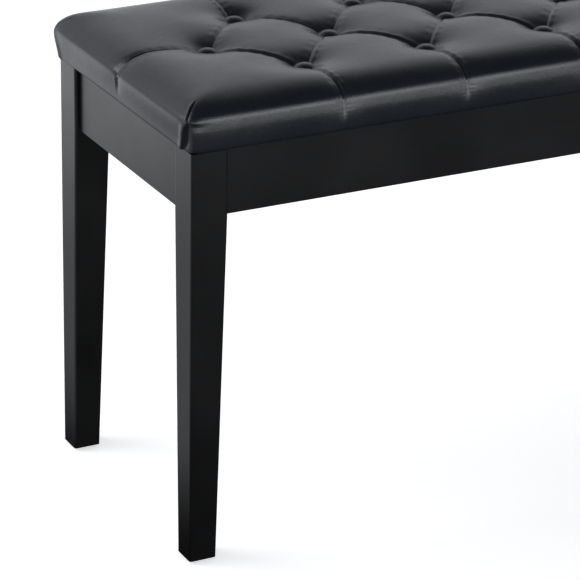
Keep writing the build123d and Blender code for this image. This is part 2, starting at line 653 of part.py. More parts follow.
def stay_box_screw_lines():
    """Tip and head of the screws through the box plates, into the side aprons."""
    for sx in SIDES.values():
        for along, up in ((-1, 1), (1, 1), (1, -1)):
            y, z = STAY_PIVOT_Y + along * PLATE_SCREW_Y, STAY_PIVOT_Z + up * PLATE_SCREW_Z
            yield (sx * (BOX_X + APRON_SCREW_BITE), y, z), (sx * (BOX_X - STAY_PLATE), y, z)


def lid_bracket(sx):
    """The angle bracket under the lid that carries the upper arm."""
    x0, x1 = layer(sx, LOWER_LAYER, ARM_SHEET)
    top = BOARD_BOTTOM_Z - DUST_COVER
    ear = block(
        (x0, STAY_LID_Y - BRACKET_EAR, STAY_LID_Z), (x1, STAY_LID_Y + BRACKET_EAR, top)
    ) + cylinder(BRACKET_EAR, (x0, STAY_LID_Y, STAY_LID_Z), (x1, STAY_LID_Y, STAY_LID_Z))
    p0, p1 = layer(sx, LOWER_LAYER, BRACKET_REACH)
    plate = block((p0, STAY_LID_Y - BRACKET_HALF_Y, top - STAY_PLATE), (p1, STAY_LID_Y + BRACKET_HALF_Y, top))
    shape = ear + fillet(plate.edges().filter_by(Axis.Z), BRACKET_CORNER_RADIUS)
    shape -= hole_along_x(RIVET_RADIUS + FIT_GAP, x0, x1, STAY_LID_Y, STAY_LID_Z)
    for tip, head in stay_lid_screw_lines():
        if tip[0] * sx > 0:
            shape -= countersink(tip, head)
    return shape


def stay_lid_screw_lines():
    """Tip and head of the screws through the lid brackets, into the lid board."""
    for sx in SIDES.values():
        x = sx * (BOX_X - LOWER_LAYER - BRACKET_SCREW_INSET)
        head_z = BOARD_BOTTOM_Z - DUST_COVER - STAY_PLATE
        for y in (STAY_LID_Y - BRACKET_SCREW_Y, STAY_LID_Y + BRACKET_SCREW_Y):
            yield (x, y, head_z + BRACKET_SCREW_BITE), (x, y, head_z)


def screws(lines):
    """A group of flush wood screws."""
    return group(screw(tip, head) for tip, head in lines)


# ---- assembly ------------------------------------------------------------------------------------
def main():
    """Builds and writes every sub-part."""
    os.makedirs("parts", exist_ok=True)
    for corner in CORNERS:
        save(f"{corner}_leg", leg(corner))
        save(f"{corner}_corner_block", corner_block(corner))
        save(f"{corner}_foot_pad", foot_pad(corner))
    save("front_apron", long_apron(-1))
    save("rear_apron", long_apron(1))
    save("left_apron", side_apron(-1))
    save("right_apron", side_apron(1))
    save("storage_floor", storage_floor())
    save("apron_dowels", group(
        cylinder(DOWEL_RADIUS, a, b) for corner in CORNERS for a, b in dowel_lines(corner)
    ))
    save("corner_block_screws", screws(line for corner in CORNERS for line in block_screw_lines(corner)))
    save("leg_bolts", leg_bolts())
    save("leg_bolt_washers", leg_washers())
    save("leg_bolt_nuts", leg_nuts())
    save("foot_pad_screws", foot_screws())
    save("lid_bumpers", lid_bumpers())

    save("lid_board", lid_board())
    save("seat_foam", seat_foam())
    save("seat_cover", seat_cover())
    save("dust_cover", dust_cover())
    save("button_twine", button_twine())
    for row, places in button_places().items():
        save(f"{row}_row_buttons", group(button(x, y) for x, y in places))

    save("hinge_box_screws", screws(box_hinge_screw_lines()))
    save("hinge_lid_screws", screws(lid_hinge_screw_lines()))
    save("stay_box_screws", screws(stay_box_screw_lines()))
    save("stay_lid_screws", screws(stay_lid_screw_lines()))
    for side, sx in SIDES.items():
        save(f"{side}_hinge_box_leaf", box_leaf(sx))
        save(f"{side}_hinge_lid_leaf", lid_leaf(sx))
        save(f"{side}_hinge_pin", hinge_pin(sx))
        save(f"{side}_stay_box_plate", box_plate(sx))
        save(f"{side}_stay_box_rivet", box_rivet(sx))
        save(f"{side}_stay_lower_arm", lower_arm(sx))
        save(f"{side}_stay_elbow_rivet", elbow_rivet(sx))
        save(f"{side}_stay_upper_arm", upper_arm(sx))
        save(f"{side}_stay_lid_bracket", lid_bracket(sx))
        save(f"{side}_stay_lid_rivet", lid_rivet(sx))


main()
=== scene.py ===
"""Piano bench with a tufted lid: its soft parts, trim, finishes and studio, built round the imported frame."""

import sys

import json
import logging
import math
from collections.abc import Callable, Iterable, Iterator
from contextlib import contextmanager
from dataclasses import dataclass, field
from enum import Enum

import bpy
import numpy as np
from mathutils import Matrix, Vector

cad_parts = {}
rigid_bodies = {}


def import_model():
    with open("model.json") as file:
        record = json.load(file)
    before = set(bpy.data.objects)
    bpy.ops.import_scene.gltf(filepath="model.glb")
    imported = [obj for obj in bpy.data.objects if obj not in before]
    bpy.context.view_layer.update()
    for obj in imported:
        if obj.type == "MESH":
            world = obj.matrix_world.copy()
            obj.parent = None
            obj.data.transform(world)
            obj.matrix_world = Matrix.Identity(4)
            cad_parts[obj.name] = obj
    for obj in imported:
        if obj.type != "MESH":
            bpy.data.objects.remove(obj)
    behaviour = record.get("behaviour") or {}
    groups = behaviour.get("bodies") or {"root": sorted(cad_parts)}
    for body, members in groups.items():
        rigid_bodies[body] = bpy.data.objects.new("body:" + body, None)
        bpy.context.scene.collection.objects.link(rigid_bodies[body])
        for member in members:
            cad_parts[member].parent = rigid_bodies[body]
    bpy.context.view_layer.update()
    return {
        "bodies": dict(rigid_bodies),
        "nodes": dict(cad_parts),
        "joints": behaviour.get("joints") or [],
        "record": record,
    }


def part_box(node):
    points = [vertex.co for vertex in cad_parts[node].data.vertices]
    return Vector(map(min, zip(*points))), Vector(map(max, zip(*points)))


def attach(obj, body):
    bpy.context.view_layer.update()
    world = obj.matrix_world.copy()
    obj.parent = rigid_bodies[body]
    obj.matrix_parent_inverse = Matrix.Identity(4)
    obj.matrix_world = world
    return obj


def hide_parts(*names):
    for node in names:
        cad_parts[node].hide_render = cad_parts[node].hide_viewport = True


LOG = logging.getLogger("piano_bench")
MM = 0.001
TINY = 1e-6
ON_LINE = 0.2 * MM
SAME_PLACE = 1 * MM
BETWEEN_BUTTONS = 50 * MM
SWELL_ROOM = 1.2 * MM

Colour = tuple[float, float, float, float]
Corner = tuple[float, float]
Material = bpy.types.Material
Piece = bpy.types.Object
Place = tuple[float, float, float]
Points = np.ndarray
Socket = bpy.types.NodeSocket


class Axis(Enum):
    """The way that grain or brushing runs, or that a screw points."""

    X = 0
    Y = 1
    Z = 2


class Row(Enum):
    """The rows of buttons across the seat."""

    FRONT = "front_row_buttons"
    MIDDLE = "middle_row_buttons"
    REAR = "rear_row_buttons"


# ---- small mesh helpers --------------------------------------------------------------------------
def deselect_all() -> None:
    """Leaves nothing selected, so that an operator acts on the new piece alone."""
    bpy.ops.object.select_all(action="DESELECT")


def activate(obj: Piece) -> None:
    """Makes one object the only selected and the active one.

    Args:
        obj: The object.
    """
    deselect_all()
    obj.select_set(True)
    bpy.context.view_layer.objects.active = obj


@contextmanager
def editing(obj: Piece) -> Iterator[None]:
    """Opens an object's mesh in edit mode and closes it again.

    Args:
        obj: The object.

    Yields:
        Nothing, while the mesh is open.
    """
    activate(obj)
    bpy.ops.object.mode_set(mode="EDIT")
    yield
    bpy.ops.object.mode_set(mode="OBJECT")


def coords(obj: Piece) -> Points:
    """Reads a mesh's vertices.

    Args:
        obj: The object.

    Returns:
        An array of shape (vertices, 3), in metres.
    """
    flat = np.empty(len(obj.data.vertices) * 3)
    obj.data.vertices.foreach_get("co", flat)
    return flat.reshape(-1, 3)


def set_coords(obj: Piece, points: Points) -> None:
    """Writes a mesh's vertices from an array of shape (vertices, 3), in metres."""
    obj.data.vertices.foreach_set("co", points.ravel())
    obj.data.update()


def normals(obj: Piece) -> Points:
    """Reads a mesh's vertex normals.

    Args:
        obj: The object.

    Returns:
        An array of shape (vertices, 3).
    """
    flat = np.empty(len(obj.data.vertices) * 3)
    obj.data.vertex_normals.foreach_get("vector", flat)
    return flat.reshape(-1, 3)


def attribute(obj: Piece, name: str, values: Points | None = None) -> Points:
    """Reads or writes a vector attribute on a mesh's points.

    Args:
        obj: The object.
        name: The attribute's name.
        values: What to write, or None to read.

    Returns:
        The attribute, as an array of shape (vertices, 3).
    """
    mesh = obj.data
    if values is not None:
        made = mesh.attributes.get(name) or mesh.attributes.new(name, "FLOAT_VECTOR", "POINT")
        made.data.foreach_set("vector", np.ascontiguousarray(values, dtype=np.float32).ravel())
    flat = np.empty(len(mesh.vertices) * 3, dtype=np.float32)
    mesh.attributes[name].data.foreach_get("vector", flat)
    return flat.reshape(-1, 3).astype(float)


def apply_modifier(obj: Piece, kind: str, **settings: object) -> None:
    """Adds a modifier and applies it.

    Args:
        obj: The object.
        kind: The modifier's type.
        settings: Its settings.
    """
    activate(obj)
    made = obj.modifiers.new(kind.title(), kind)
    for name, value in settings.items():
        setattr(made, name, value)
    bpy.ops.object.modifier_apply(modifier=made.name)


def choose(obj: Piece, domain: str, test: Callable[[int], bool]) -> None:
    """Selects the faces or vertices that pass a test and nothing else, in edit mode.

    Args:
        obj: The object, in edit mode.
        domain: FACE or VERT.
        test: Takes an index.
    """
    bpy.ops.mesh.select_mode(type=domain)
    bpy.ops.mesh.select_all(action="DESELECT")
    bpy.ops.object.mode_set(mode="OBJECT")
    for thing in {"FACE": obj.data.polygons, "VERT": obj.data.vertices}[domain]:
        if test(thing.index):
            thing.select = True
    bpy.ops.object.mode_set(mode="EDIT")


def smoothstep(low: float, high: float, value: Points) -> Points:
    """Rises smoothly from 0 at low to 1 at high.

    Args:
        low: Where it leaves 0.
        high: Where it reaches 1.
        value: The values.

    Returns:
        The rise at each value.
    """
    t = np.clip((value - low) / (high - low), 0.0, 1.0)
    return t * t * (3 - 2 * t)


def bell(value: Points, width: float) -> Points:
    """Gives a bell curve that is 1 at 0 and falls to 0.37 at the width."""
    return np.exp(-((value / width) ** 2))


def segment_distance(points: Points, start: Corner, end: Corner) -> tuple[Points, Points]:
    """Measures how far plan points lie from a line between two plan points.

    Args:
        points: An array of shape (n, 2).
        start: One end.
        end: The other end.

    Returns:
        The signed distance (positive to the left of the line) and the place along it from 0 to 1.
    """
    a, b = np.array(start), np.array(end)
    run = b - a
    along = np.clip(((points - a) @ run) / (run @ run), 0.0, 1.0)
    nearest = a + along[:, None] * run
    gap = points - nearest
    side = np.sign(run[0] * (points[:, 1] - a[1]) - run[1] * (points[:, 0] - a[0]))
    return np.hypot(gap[:, 0], gap[:, 1]) * np.where(side == 0, 1, side), along


def lathe(name: str, profile: Iterable[Corner], steps: int) -> Piece:
    """Spins a profile of (radius, height) points about Z into a closed shape.

    Args:
        name: The new object's name.
        profile: Radius and height of each point, in metres, from the foot to the crown.
        steps: How many facets the spin has.

    Returns:
        The spun piece.
    """
    points = list(profile)
    deselect_all()
    bpy.ops.mesh.primitive_circle_add(vertices=3, radius=1.0)
    obj = bpy.context.active_object
    obj.name = name
    with editing(obj):
        bpy.ops.mesh.delete(type="VERT")
    obj.data.from_pydata([(r, 0, z) for r, z in points], [(i, i + 1) for i in range(len(points) - 1)], [])
    with editing(obj):
        bpy.ops.mesh.select_all(action="SELECT")
        bpy.ops.mesh.spin(steps=steps, angle=math.tau, center=(0, 0, 0), axis=(0, 0, 1))
        bpy.ops.mesh.select_all(action="SELECT")
        bpy.ops.mesh.remove_doubles(threshold=TINY)
        bpy.ops.mesh.normals_make_consistent(inside=False)
    return obj


def joined_copies(name: str, model: Piece, places: Iterable[Matrix]) -> Piece:
    """Copies a model to each place and joins the copies; the model goes.

    Args:
        name: The joined object's name.
        model: What to copy.
        places: A matrix for each copy.

    Returns:
        The joined object, at the origin.
    """
    copies = []
    for place in places:
        copy = model.copy()
        copy.data = model.data.copy()
        copy.data.transform(place)
        bpy.context.collection.objects.link(copy)
        copies.append(copy)
    bpy.data.objects.remove(model, do_unlink=True)
    activate(copies[0])
    for copy in copies:
        copy.select_set(True)
    bpy.ops.object.join()
    joined = bpy.context.active_object
    joined.name = joined.data.name = name
    return joined


def dress(obj: Piece, material: Material) -> None:
    """Gives an object one material.

    Args:
        obj: The object.
        material: The material.
    """
    if obj.material_slots:
        for place in obj.material_slots:
            place.material = material
    else:
        obj.data.materials.append(material)


# ---- finishes ------------------------------------------------------------------------------------
class NodeKit:
    """Short calls that add and link the nodes of a tree."""

    def __init__(self, tree: bpy.types.NodeTree) -> None:
        """Takes the tree to work on."""
        self.tree = tree

    def node(self, kind: str, **settings: object) -> bpy.types.Node:
        """Adds a node.

        Args:
            kind: The node's type.
            settings: Its properties.

        Returns:
            The node.
        """
        made = self.tree.nodes.new(kind)
        for name, value in settings.items():
            setattr(made, name, value)
        return made

    def feed(self, socket: Socket, value: object) -> None:
        """Links an output to a socket, or sets the socket's value.

        Args:
            socket: The input.
            value: An output socket, a number or a tuple.
        """
        if isinstance(value, Socket):
            self.tree.links.new(value, socket)
        else:
            socket.default_value = value

    def math(self, how: str, *values: object) -> Socket:
        """Adds a Math node.

        Args:
            how: The operation.
            values: Its inputs.

        Returns:
            Its output.
        """
        made = self.node("ShaderNodeMath", operation=how)
        for socket, value in zip(made.inputs, values):
            self.feed(socket, value)
        return made.outputs[0]

    def band(
        self, value: object, low: float, high: float, to_low: float, to_high: float, **settings: str
    ) -> Socket:
        """Maps a range of values to another range, clamped.

        Args:
            value: What to map.
            low: The start of its range.
            high: The end of its range.
            to_low: What low becomes.
            to_high: What high becomes.
            settings: The node's properties.

        Returns:
            The mapped value.
        """
        made = self.node("ShaderNodeMapRange", **settings)
        for socket, given in zip(made.inputs, (value, low, high, to_low, to_high)):
            self.feed(socket, given)
        return made.outputs[0]


class Shader(NodeKit):
    """A Principled material, with calls for its patterns and relief."""

    def __init__(self, name: str) -> None:
        """Makes an empty material of that name."""
        self.material = bpy.data.materials.new(name)
        self.material.use_nodes = True
        super().__init__(self.material.node_tree)
        self.body = self.tree.nodes["Principled BSDF"]
        self.place = self.node("ShaderNodeTexCoord").outputs["Object"]

    def base(self, **values: object) -> None:
        """Feeds the shader's own inputs, named with _ for a space."""
        for name, value in values.items():
            self.feed(self.body.inputs[name.replace("_", " ")], value)

    def stretch(self, axis: Axis, scale: float) -> Socket:
        """Draws the object's coordinates out along one axis.

        Args:
            axis: The axis.
            scale: The scale along it.

        Returns:
            The scaled coordinates.
        """
        made = self.node("ShaderNodeMapping")
        self.feed(made.inputs["Vector"], self.place)
        made.inputs["Scale"].default_value[axis.value] = scale
        return made.outputs[0]

    def noise(
        self, scale: float, detail: float = 2.0, where: Socket | None = None, **more: float
    ) -> Socket:
        """Adds a noise pattern.

        Args:
            scale: How fine it is.
            detail: How many octaves it has.
            where: Its coordinates, or None for the object's.
            more: Other inputs.

        Returns:
            Its value, round about 0.5.
        """
        made = self.node("ShaderNodeTexNoise")
        self.feed(made.inputs["Vector"], where or self.place)
        made.inputs["Scale"].default_value = scale
        made.inputs["Detail"].default_value = detail
        for name, value in more.items():
            made.inputs[name].default_value = value
        return made.outputs["Fac"]

    def cells(self, scale: float, feature: str = "DISTANCE_TO_EDGE") -> Socket:
        """Adds a cell pattern.

        Args:
            scale: How fine it is.
            feature: What it measures.

        Returns:
            Its distance.
        """
        made = self.node("ShaderNodeTexVoronoi", feature=feature)
        self.feed(made.inputs["Vector"], self.place)
        made.inputs["Scale"].default_value = scale
        return made.outputs["Distance"]

    def blend(self, factor: object, first: object, second: object) -> Socket:
        """Mixes two colours.

        Args:
            factor: 0 gives the first, 1 the second.
            first: A colour.
            second: A colour.

        Returns:
            The mixed colour.
        """
        made = self.node("ShaderNodeMix", data_type="RGBA")
        self.feed(made.inputs[0], factor)
        self.feed(made.inputs[6], first)
        self.feed(made.inputs[7], second)
        return made.outputs[2]

    def relief(self, *layers: tuple[Socket, float]) -> None:
        """Adds bump layers, each with its real depth.

        Args:
            layers: A height from 0 to 1 and how many metres it stands for.
        """
        last = None
        for height, depth in layers:
            made = self.node("ShaderNodeBump")
            made.inputs["Strength"].default_value = 1.0
            made.inputs["Distance"].default_value = depth
            self.feed(made.inputs["Height"], height)
            if last is not None:
                self.feed(made.inputs["Normal"], last)
            last = made.outputs["Normal"]
        self.feed(self.body.inputs["Normal"], last)


@dataclass(frozen=True)
class Finish:
    """What the finishes share: a name, and a material that each mixes its own way."""

    name: str

    def mix(self, shader: Shader) -> None:
        """Feeds the shader; each finish has its own way."""

    def build(self) -> Material:
        """Makes the material.

        Returns:
            The material.
        """
        shader = Shader(self.name)
        self.mix(shader)
        return shader.material


@dataclass(frozen=True)
class Leather(Finish):
    """Semi-gloss artificial leather with a fine pebble grain."""

    colour: Colour = (0.0048, 0.0068, 0.0105, 1.0)
    worn: Colour = (0.008, 0.0098, 0.0135, 1.0)
    roughness: float = 0.25
    pebble_scale: float = 900.0

    def mix(self, shader: Shader) -> None:
        """Feeds the shader.

        Args:
            shader: The material's shader.
        """
        patches = shader.noise(14.0, 4.0)
        pebble = shader.cells(self.pebble_scale)
        pore = shader.noise(self.pebble_scale * 1.7, 2.0)
        crease = shader.noise(38.0, 4.0, Roughness=0.5, Distortion=0.6)
        gloss = shader.band(patches, 0.3, 0.7, self.roughness - 0.035, self.roughness + 0.05)
        shader.base(
            Base_Color=shader.blend(shader.band(patches, 0.35, 0.75, 0.0, 1.0), self.colour, self.worn),
            Roughness=shader.math("ADD", gloss, shader.band(pebble, 0.0, 0.12, 0.06, 0.0)),
        )
        shader.base(IOR=1.5, Specular_IOR_Level=0.52, Coat_Weight=0.12, Coat_Roughness=0.22)
        rounded = shader.band(pebble, 0.0, 0.35, 0.0, 1.0)
        shader.relief((crease, 0.0003), (rounded, 0.00003), (pore, 0.000012))


@dataclass(frozen=True)
class Lacquer(Finish):
    """Satin black lacquer over hardwood, with the wood's pores just showing."""

    grain: Axis
    colour: Colour = (0.001, 0.001, 0.0014, 1.0)
    dust: Colour = (0.0022, 0.0022, 0.0026, 1.0)
    roughness: float = 0.33

    def mix(self, shader: Shader) -> None:
        """Feeds the shader.

        Args:
            shader: The material's shader.
        """
        along = shader.stretch(self.grain, 0.045)
        pores = shader.noise(620.0, 3.0, along, Roughness=0.6)
        ripple = shader.noise(150.0, 2.0, along)
        orange_peel = shader.noise(260.0, 1.0)
        haze = shader.noise(9.0, 4.0)
        specks = shader.cells(330.0, "F1")
        shader.base(
            Base_Color=shader.blend(shader.band(haze, 0.4, 0.75, 0.0, 0.7), self.colour, self.dust),
            Roughness=shader.math(
                "ADD",
                shader.band(haze, 0.3, 0.7, self.roughness - 0.04, self.roughness + 0.06),
                shader.band(pores, 0.55, 0.75, 0.0, 0.06),
            ),
        )
        shader.base(Coat_Weight=0.25, Coat_Roughness=0.28)
        shader.relief(
            (shader.band(pores, 0.45, 0.7, 1.0, 0.0), 0.00003),
            (ripple, 0.00006),
            (orange_peel, 0.00005),
            (shader.band(specks, 0.0, 0.1, 1.0, 0.0), 0.00002),
        )


@dataclass(frozen=True)
class BareWood(Finish):
    """Planed wood with growth rings and pores."""

    grain: Axis
    light: Colour
    dark: Colour
    roughness: float = 0.62

    def mix(self, shader: Shader) -> None:
        """Feeds the shader.

        Args:
            shader: The material's shader.
        """
        along = shader.stretch(self.grain, 0.09)
        rings = shader.node("ShaderNodeTexWave", wave_type="RINGS", rings_direction=self.grain.name)
        shader.feed(rings.inputs["Vector"], along)
        for name, value in {"Scale": 42.0, "Distortion": 5.0, "Detail": 3.0, "Detail Scale": 1.6}.items():
            rings.inputs[name].default_value = value
        streaks = shader.noise(300.0, 4.0, along, Roughness=0.65)
        pores = shader.noise(1100.0, 2.0, along)
        late_wood = shader.band(rings.outputs["Fac"], 0.2, 1.0, 0.0, 0.6)
        tone = shader.math("ADD", late_wood, shader.band(streaks, 0.35, 0.7, 0.0, 0.5))
        shader.base(
            Base_Color=shader.blend(tone, self.light, self.dark),
            Roughness=shader.band(streaks, 0.3, 0.7, self.roughness, self.roughness + 0.12),
        )
        shader.relief((shader.band(pores, 0.5, 0.7, 1.0, 0.0), 0.00008), (streaks, 0.00006))


@dataclass(frozen=True)
class Metal(Finish):
    """Plated or painted metal with fine scratches and a little tarnish."""

    colour: Colour
    tarnish: Colour
    metallic: float
    roughness: float
    brushed: Axis = Axis.X

    def mix(self, shader: Shader) -> None:
        """Feeds the shader.

        Args:
            shader: The material's shader.
        """
        lines = shader.noise(2600.0, 2.0, shader.stretch(self.brushed, 0.03))
        spots = shader.noise(120.0, 5.0, Roughness=0.7)
        shader.base(
            Base_Color=shader.blend(shader.band(spots, 0.45, 0.72, 0.0, 1.0), self.colour, self.tarnish),
            Roughness=shader.math(
                "ADD",
                shader.band(spots, 0.35, 0.7, self.roughness - 0.05, self.roughness + 0.1),
                shader.band(lines, 0.4, 0.7, 0.0, 0.08),
            ),
        )
        shader.base(Metallic=self.metallic)
        shader.relief((lines, 0.00001), (spots, 0.00002))


@dataclass(frozen=True)
class Rubber(Finish):
    """Matte moulded rubber, a little dusty."""

    colour: Colour = (0.022, 0.022, 0.022, 1.0)
    dust: Colour = (0.075, 0.072, 0.068, 1.0)

    def mix(self, shader: Shader) -> None:
        """Feeds the shader.

        Args:
            shader: The material's shader.
        """
        patches = shader.noise(160.0, 5.0, Roughness=0.7)
        grit = shader.noise(2400.0, 2.0)
        shader.base(
            Base_Color=shader.blend(shader.band(patches, 0.5, 0.8, 0.0, 0.7), self.colour, self.dust),
            Roughness=shader.band(patches, 0.3, 0.7, 0.66, 0.86),
        )
        shader.relief((grit, 0.00004), (patches, 0.00005))


@dataclass(frozen=True)
class Cloth(Finish):
    """Cloth of crossed threads, or felted cloth where the threads don't show."""

    colour: Colour
    shade: Colour
    pitch: float
    felted: float

    def mix(self, shader: Shader) -> None:
        """Feeds the shader.

        Args:
            shader: The material's shader.
        """
        threads = []
        for direction in ("X", "Y"):
            wave = shader.node("ShaderNodeTexWave", wave_type="BANDS", bands_direction=direction)
            shader.feed(wave.inputs["Vector"], shader.place)
            wave.inputs["Scale"].default_value = 0.314 / self.pitch
            wave.inputs["Distortion"].default_value = 1.5 * self.felted
            threads.append(wave.outputs["Fac"])
        weave = shader.math("MULTIPLY", *threads)
        fibres = shader.noise(900.0, 5.0, Roughness=0.75)
        tone = shader.math(
            "ADD", shader.math("MULTIPLY", weave, 1.0 - self.felted), shader.band(fibres, 0.3, 0.75, 0.0, 0.8)
        )
        shader.base(Base_Color=shader.blend(tone, self.shade, self.colour), Roughness=0.9, Sheen_Weight=0.12)
        shader.relief((weave, 0.00012 * (1.0 - 0.6 * self.felted)), (fibres, 0.00014))


@dataclass(frozen=True)
class Foam(Finish):
    """Open-celled upholstery foam."""

    def mix(self, shader: Shader) -> None:
        """Feeds the shader.

        Args:
            shader: The material's shader.
        """
        cells = shader.cells(700.0, "F1")
        shader.base(
            Base_Color=shader.blend(
                shader.band(cells, 0.0, 0.6, 0.0, 1.0), (0.45, 0.4, 0.26, 1.0), (0.83, 0.78, 0.58, 1.0)
            ),
            Roughness=0.95,
        )
        shader.relief((cells, 0.0004))


@dataclass
class FrameFinishes:
    """Dresses the nodes that are shown as they were made."""

    nodes: dict[str, Piece]
    made: dict[str, Material] = field(default_factory=dict)

    def finish_of(self, node: str) -> Finish:
        """Picks a node's finish from what it is.

        Args:
            node: The node's name.

        Returns:
            The finish.
        """
        oak, oak_dark = (0.56, 0.41, 0.25, 1.0), (0.38, 0.25, 0.13, 1.0)
        zinc, grey_zinc = (0.62, 0.63, 0.64, 1.0), (0.46, 0.46, 0.45, 1.0)
        black_dust = (0.03, 0.029, 0.028, 1.0)
        if node.endswith("_leg"):
            return Lacquer("lacquer_upright", Axis.Z)
        if node in ("front_apron", "rear_apron"):
            return Lacquer("lacquer_lengthwise", Axis.X)
        if node.endswith("_apron"):
            return Lacquer("lacquer_crosswise", Axis.Y)
        if node.endswith("_corner_block"):
            return BareWood("block_wood", Axis.Z, oak, oak_dark)
        if node == "apron_dowels":
            return BareWood("dowel_wood", Axis.X, (0.63, 0.49, 0.32, 1.0), (0.5, 0.36, 0.21, 1.0))
        if node == "lid_board":
            return BareWood("lid_plywood", Axis.X, (0.6, 0.46, 0.3, 1.0), (0.47, 0.33, 0.19, 1.0))
        if node == "storage_floor":
            return Lacquer("floor_paint", Axis.X, (0.012, 0.012, 0.012, 1.0), black_dust, 0.55)
        if node.endswith("foot_pad") or node == "lid_bumpers":
            return Rubber("pad_rubber")
        if node == "dust_cover":
            return Cloth("dust_cloth", (0.03, 0.03, 0.032, 1.0), (0.012, 0.012, 0.013, 1.0), 0.0012, 0.8)
        if node == "button_twine":
            return Cloth("waxed_twine", (0.7, 0.66, 0.55, 1.0), (0.4, 0.36, 0.27, 1.0), 0.0006, 0.3)
        if node == "seat_foam":
            return Foam("seat_foam")
        if "_stay_" in node and "rivet" not in node and "screws" not in node:
            return Metal("stay_paint", (0.014, 0.014, 0.015, 1.0), black_dust, 0.0, 0.38, Axis.Y)
        if "rivet" in node:
            return Metal("rivet_zinc", zinc, grey_zinc, 1.0, 0.28, Axis.Z)
        if "hinge" in node and "screws" not in node:
            return Metal("hinge_zinc", zinc, grey_zinc, 1.0, 0.34, Axis.X)
        return Metal("fastener_zinc", (0.66, 0.66, 0.65, 1.0), (0.5, 0.48, 0.42, 1.0), 1.0, 0.3, Axis.Y)

    def dress_all(self) -> None:
        """Dresses every node."""
        for name, obj in self.nodes.items():
            finish = self.finish_of(name)
            if finish.name not in self.made:
                self.made[finish.name] = finish.build()
            dress(obj, self.made[finish.name])


# ---- tufting plan --------------------------------------------------------------------------------
@dataclass
class Tufting:
    """Where the seat's buttons and folds lie, in plan, read from the buttons of the frame."""

    half_x: float
    half_y: float
    button_z: float
    rows: dict[Row, list[Corner]] = field(default_factory=dict)

    @classmethod
    def read(cls, nodes: dict[str, Piece]) -> "Tufting":
        """Reads the seat's size and the buttons' places from the frame.

        Args:
            nodes: The frame's nodes.

        Returns:
            The plan.
        """
        low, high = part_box("seat_cover")
        plan = cls(high.x, high.y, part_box(Row.MIDDLE.value)[0].z)
        for row in Row:
            points = coords(nodes[row.value])
            first = np.sort(points[:, 0])
            starts = np.flatnonzero(np.diff(first, prepend=-np.inf) > BETWEEN_BUTTONS)
            groups = np.split(first, starts[1:])
            middle = float((points[:, 1].min() + points[:, 1].max()) / 2)
            plan.rows[row] = [(float((g[0] + g[-1]) / 2), middle) for g in groups]
        return plan

    @property
    def buttons(self) -> list[Corner]:
        """Every button's place."""
        return [place for places in self.rows.values() for place in places]

    @property
    def half_pitch(self) -> float:
        """Half the distance between two buttons of a row."""
        first, second = self.rows[Row.MIDDLE][:2]
        return (second[0] - first[0]) / 2

    @property
    def row_pitch(self) -> float:
        """The distance between two rows."""
        return self.rows[Row.REAR][0][1] - self.rows[Row.MIDDLE][0][1]

    def diagonals(self) -> list[tuple[Corner, Corner]]:
        """Lists the folds between neighbouring buttons of two rows.

        Returns:
            The two ends of each fold.
        """
        folds = []
        for x, y in self.rows[Row.MIDDLE]:
            for row in (Row.FRONT, Row.REAR):
                for other_x, other_y in self.rows[row]:
                    if abs(abs(other_x - x) - self.half_pitch) < SAME_PLACE:
                        folds.append(((x, y), (other_x, other_y)))
        return folds

    def edge_folds(self) -> list[tuple[Corner, Corner]]:
        """Lists the folds that run from the outer buttons straight to the seat's edges.

        Returns:
            The button and the place on the edge.
        """
        folds = [((x, y), (x, -self.half_y)) for x, y in self.rows[Row.FRONT]]
        folds += [((x, y), (x, self.half_y)) for x, y in self.rows[Row.REAR]]
        left, right = self.rows[Row.MIDDLE][0], self.rows[Row.MIDDLE][-1]
        return folds + [(left, (-self.half_x, left[1])), (right, (self.half_x, right[1]))]


# ---- seat cushion --------------------------------------------------------------------------------
@dataclass(frozen=True)
class Crease:
    """The section across a fold: a groove, a lip on one side, a tuck on the other and small puckers."""

    groove_depth: float = 1.9 * MM
    groove_width: float = 1.2 * MM
    lip_height: float = 0.6 * MM
    lip_place: float = 2.8 * MM
    lip_width: float = 2.2 * MM
    tuck_depth: float = 0.45 * MM
    tuck_place: float = 4.0 * MM
    tuck_width: float = 3.0 * MM
    pucker_height: float = 0.15 * MM
    pucker_turns: float = 47.0
    pucker_place: float = 5 * MM
    pucker_width: float = 4 * MM

    def push(self, gap: Points, along: Points, fade: Points) -> Points:
        """Gives how far the leather moves along its normal.

        Args:
            gap: The signed distance from the fold.
            along: The place along it, from 0 to 1.
            fade: How much of the fold each point gets.

        Returns:
            The move of each point.
        """
        reach = np.abs(gap)
        groove = -self.groove_depth * bell(reach, self.groove_width)
        lip = self.lip_height * bell(gap - self.lip_place, self.lip_width)
        tuck = -self.tuck_depth * bell(gap + self.tuck_place, self.tuck_width)
        beside = bell(reach - self.pucker_place, self.pucker_width)
        pucker = self.pucker_height * np.sin(along * self.pucker_turns) * beside
        return (groove + lip + tuck + pucker) * fade


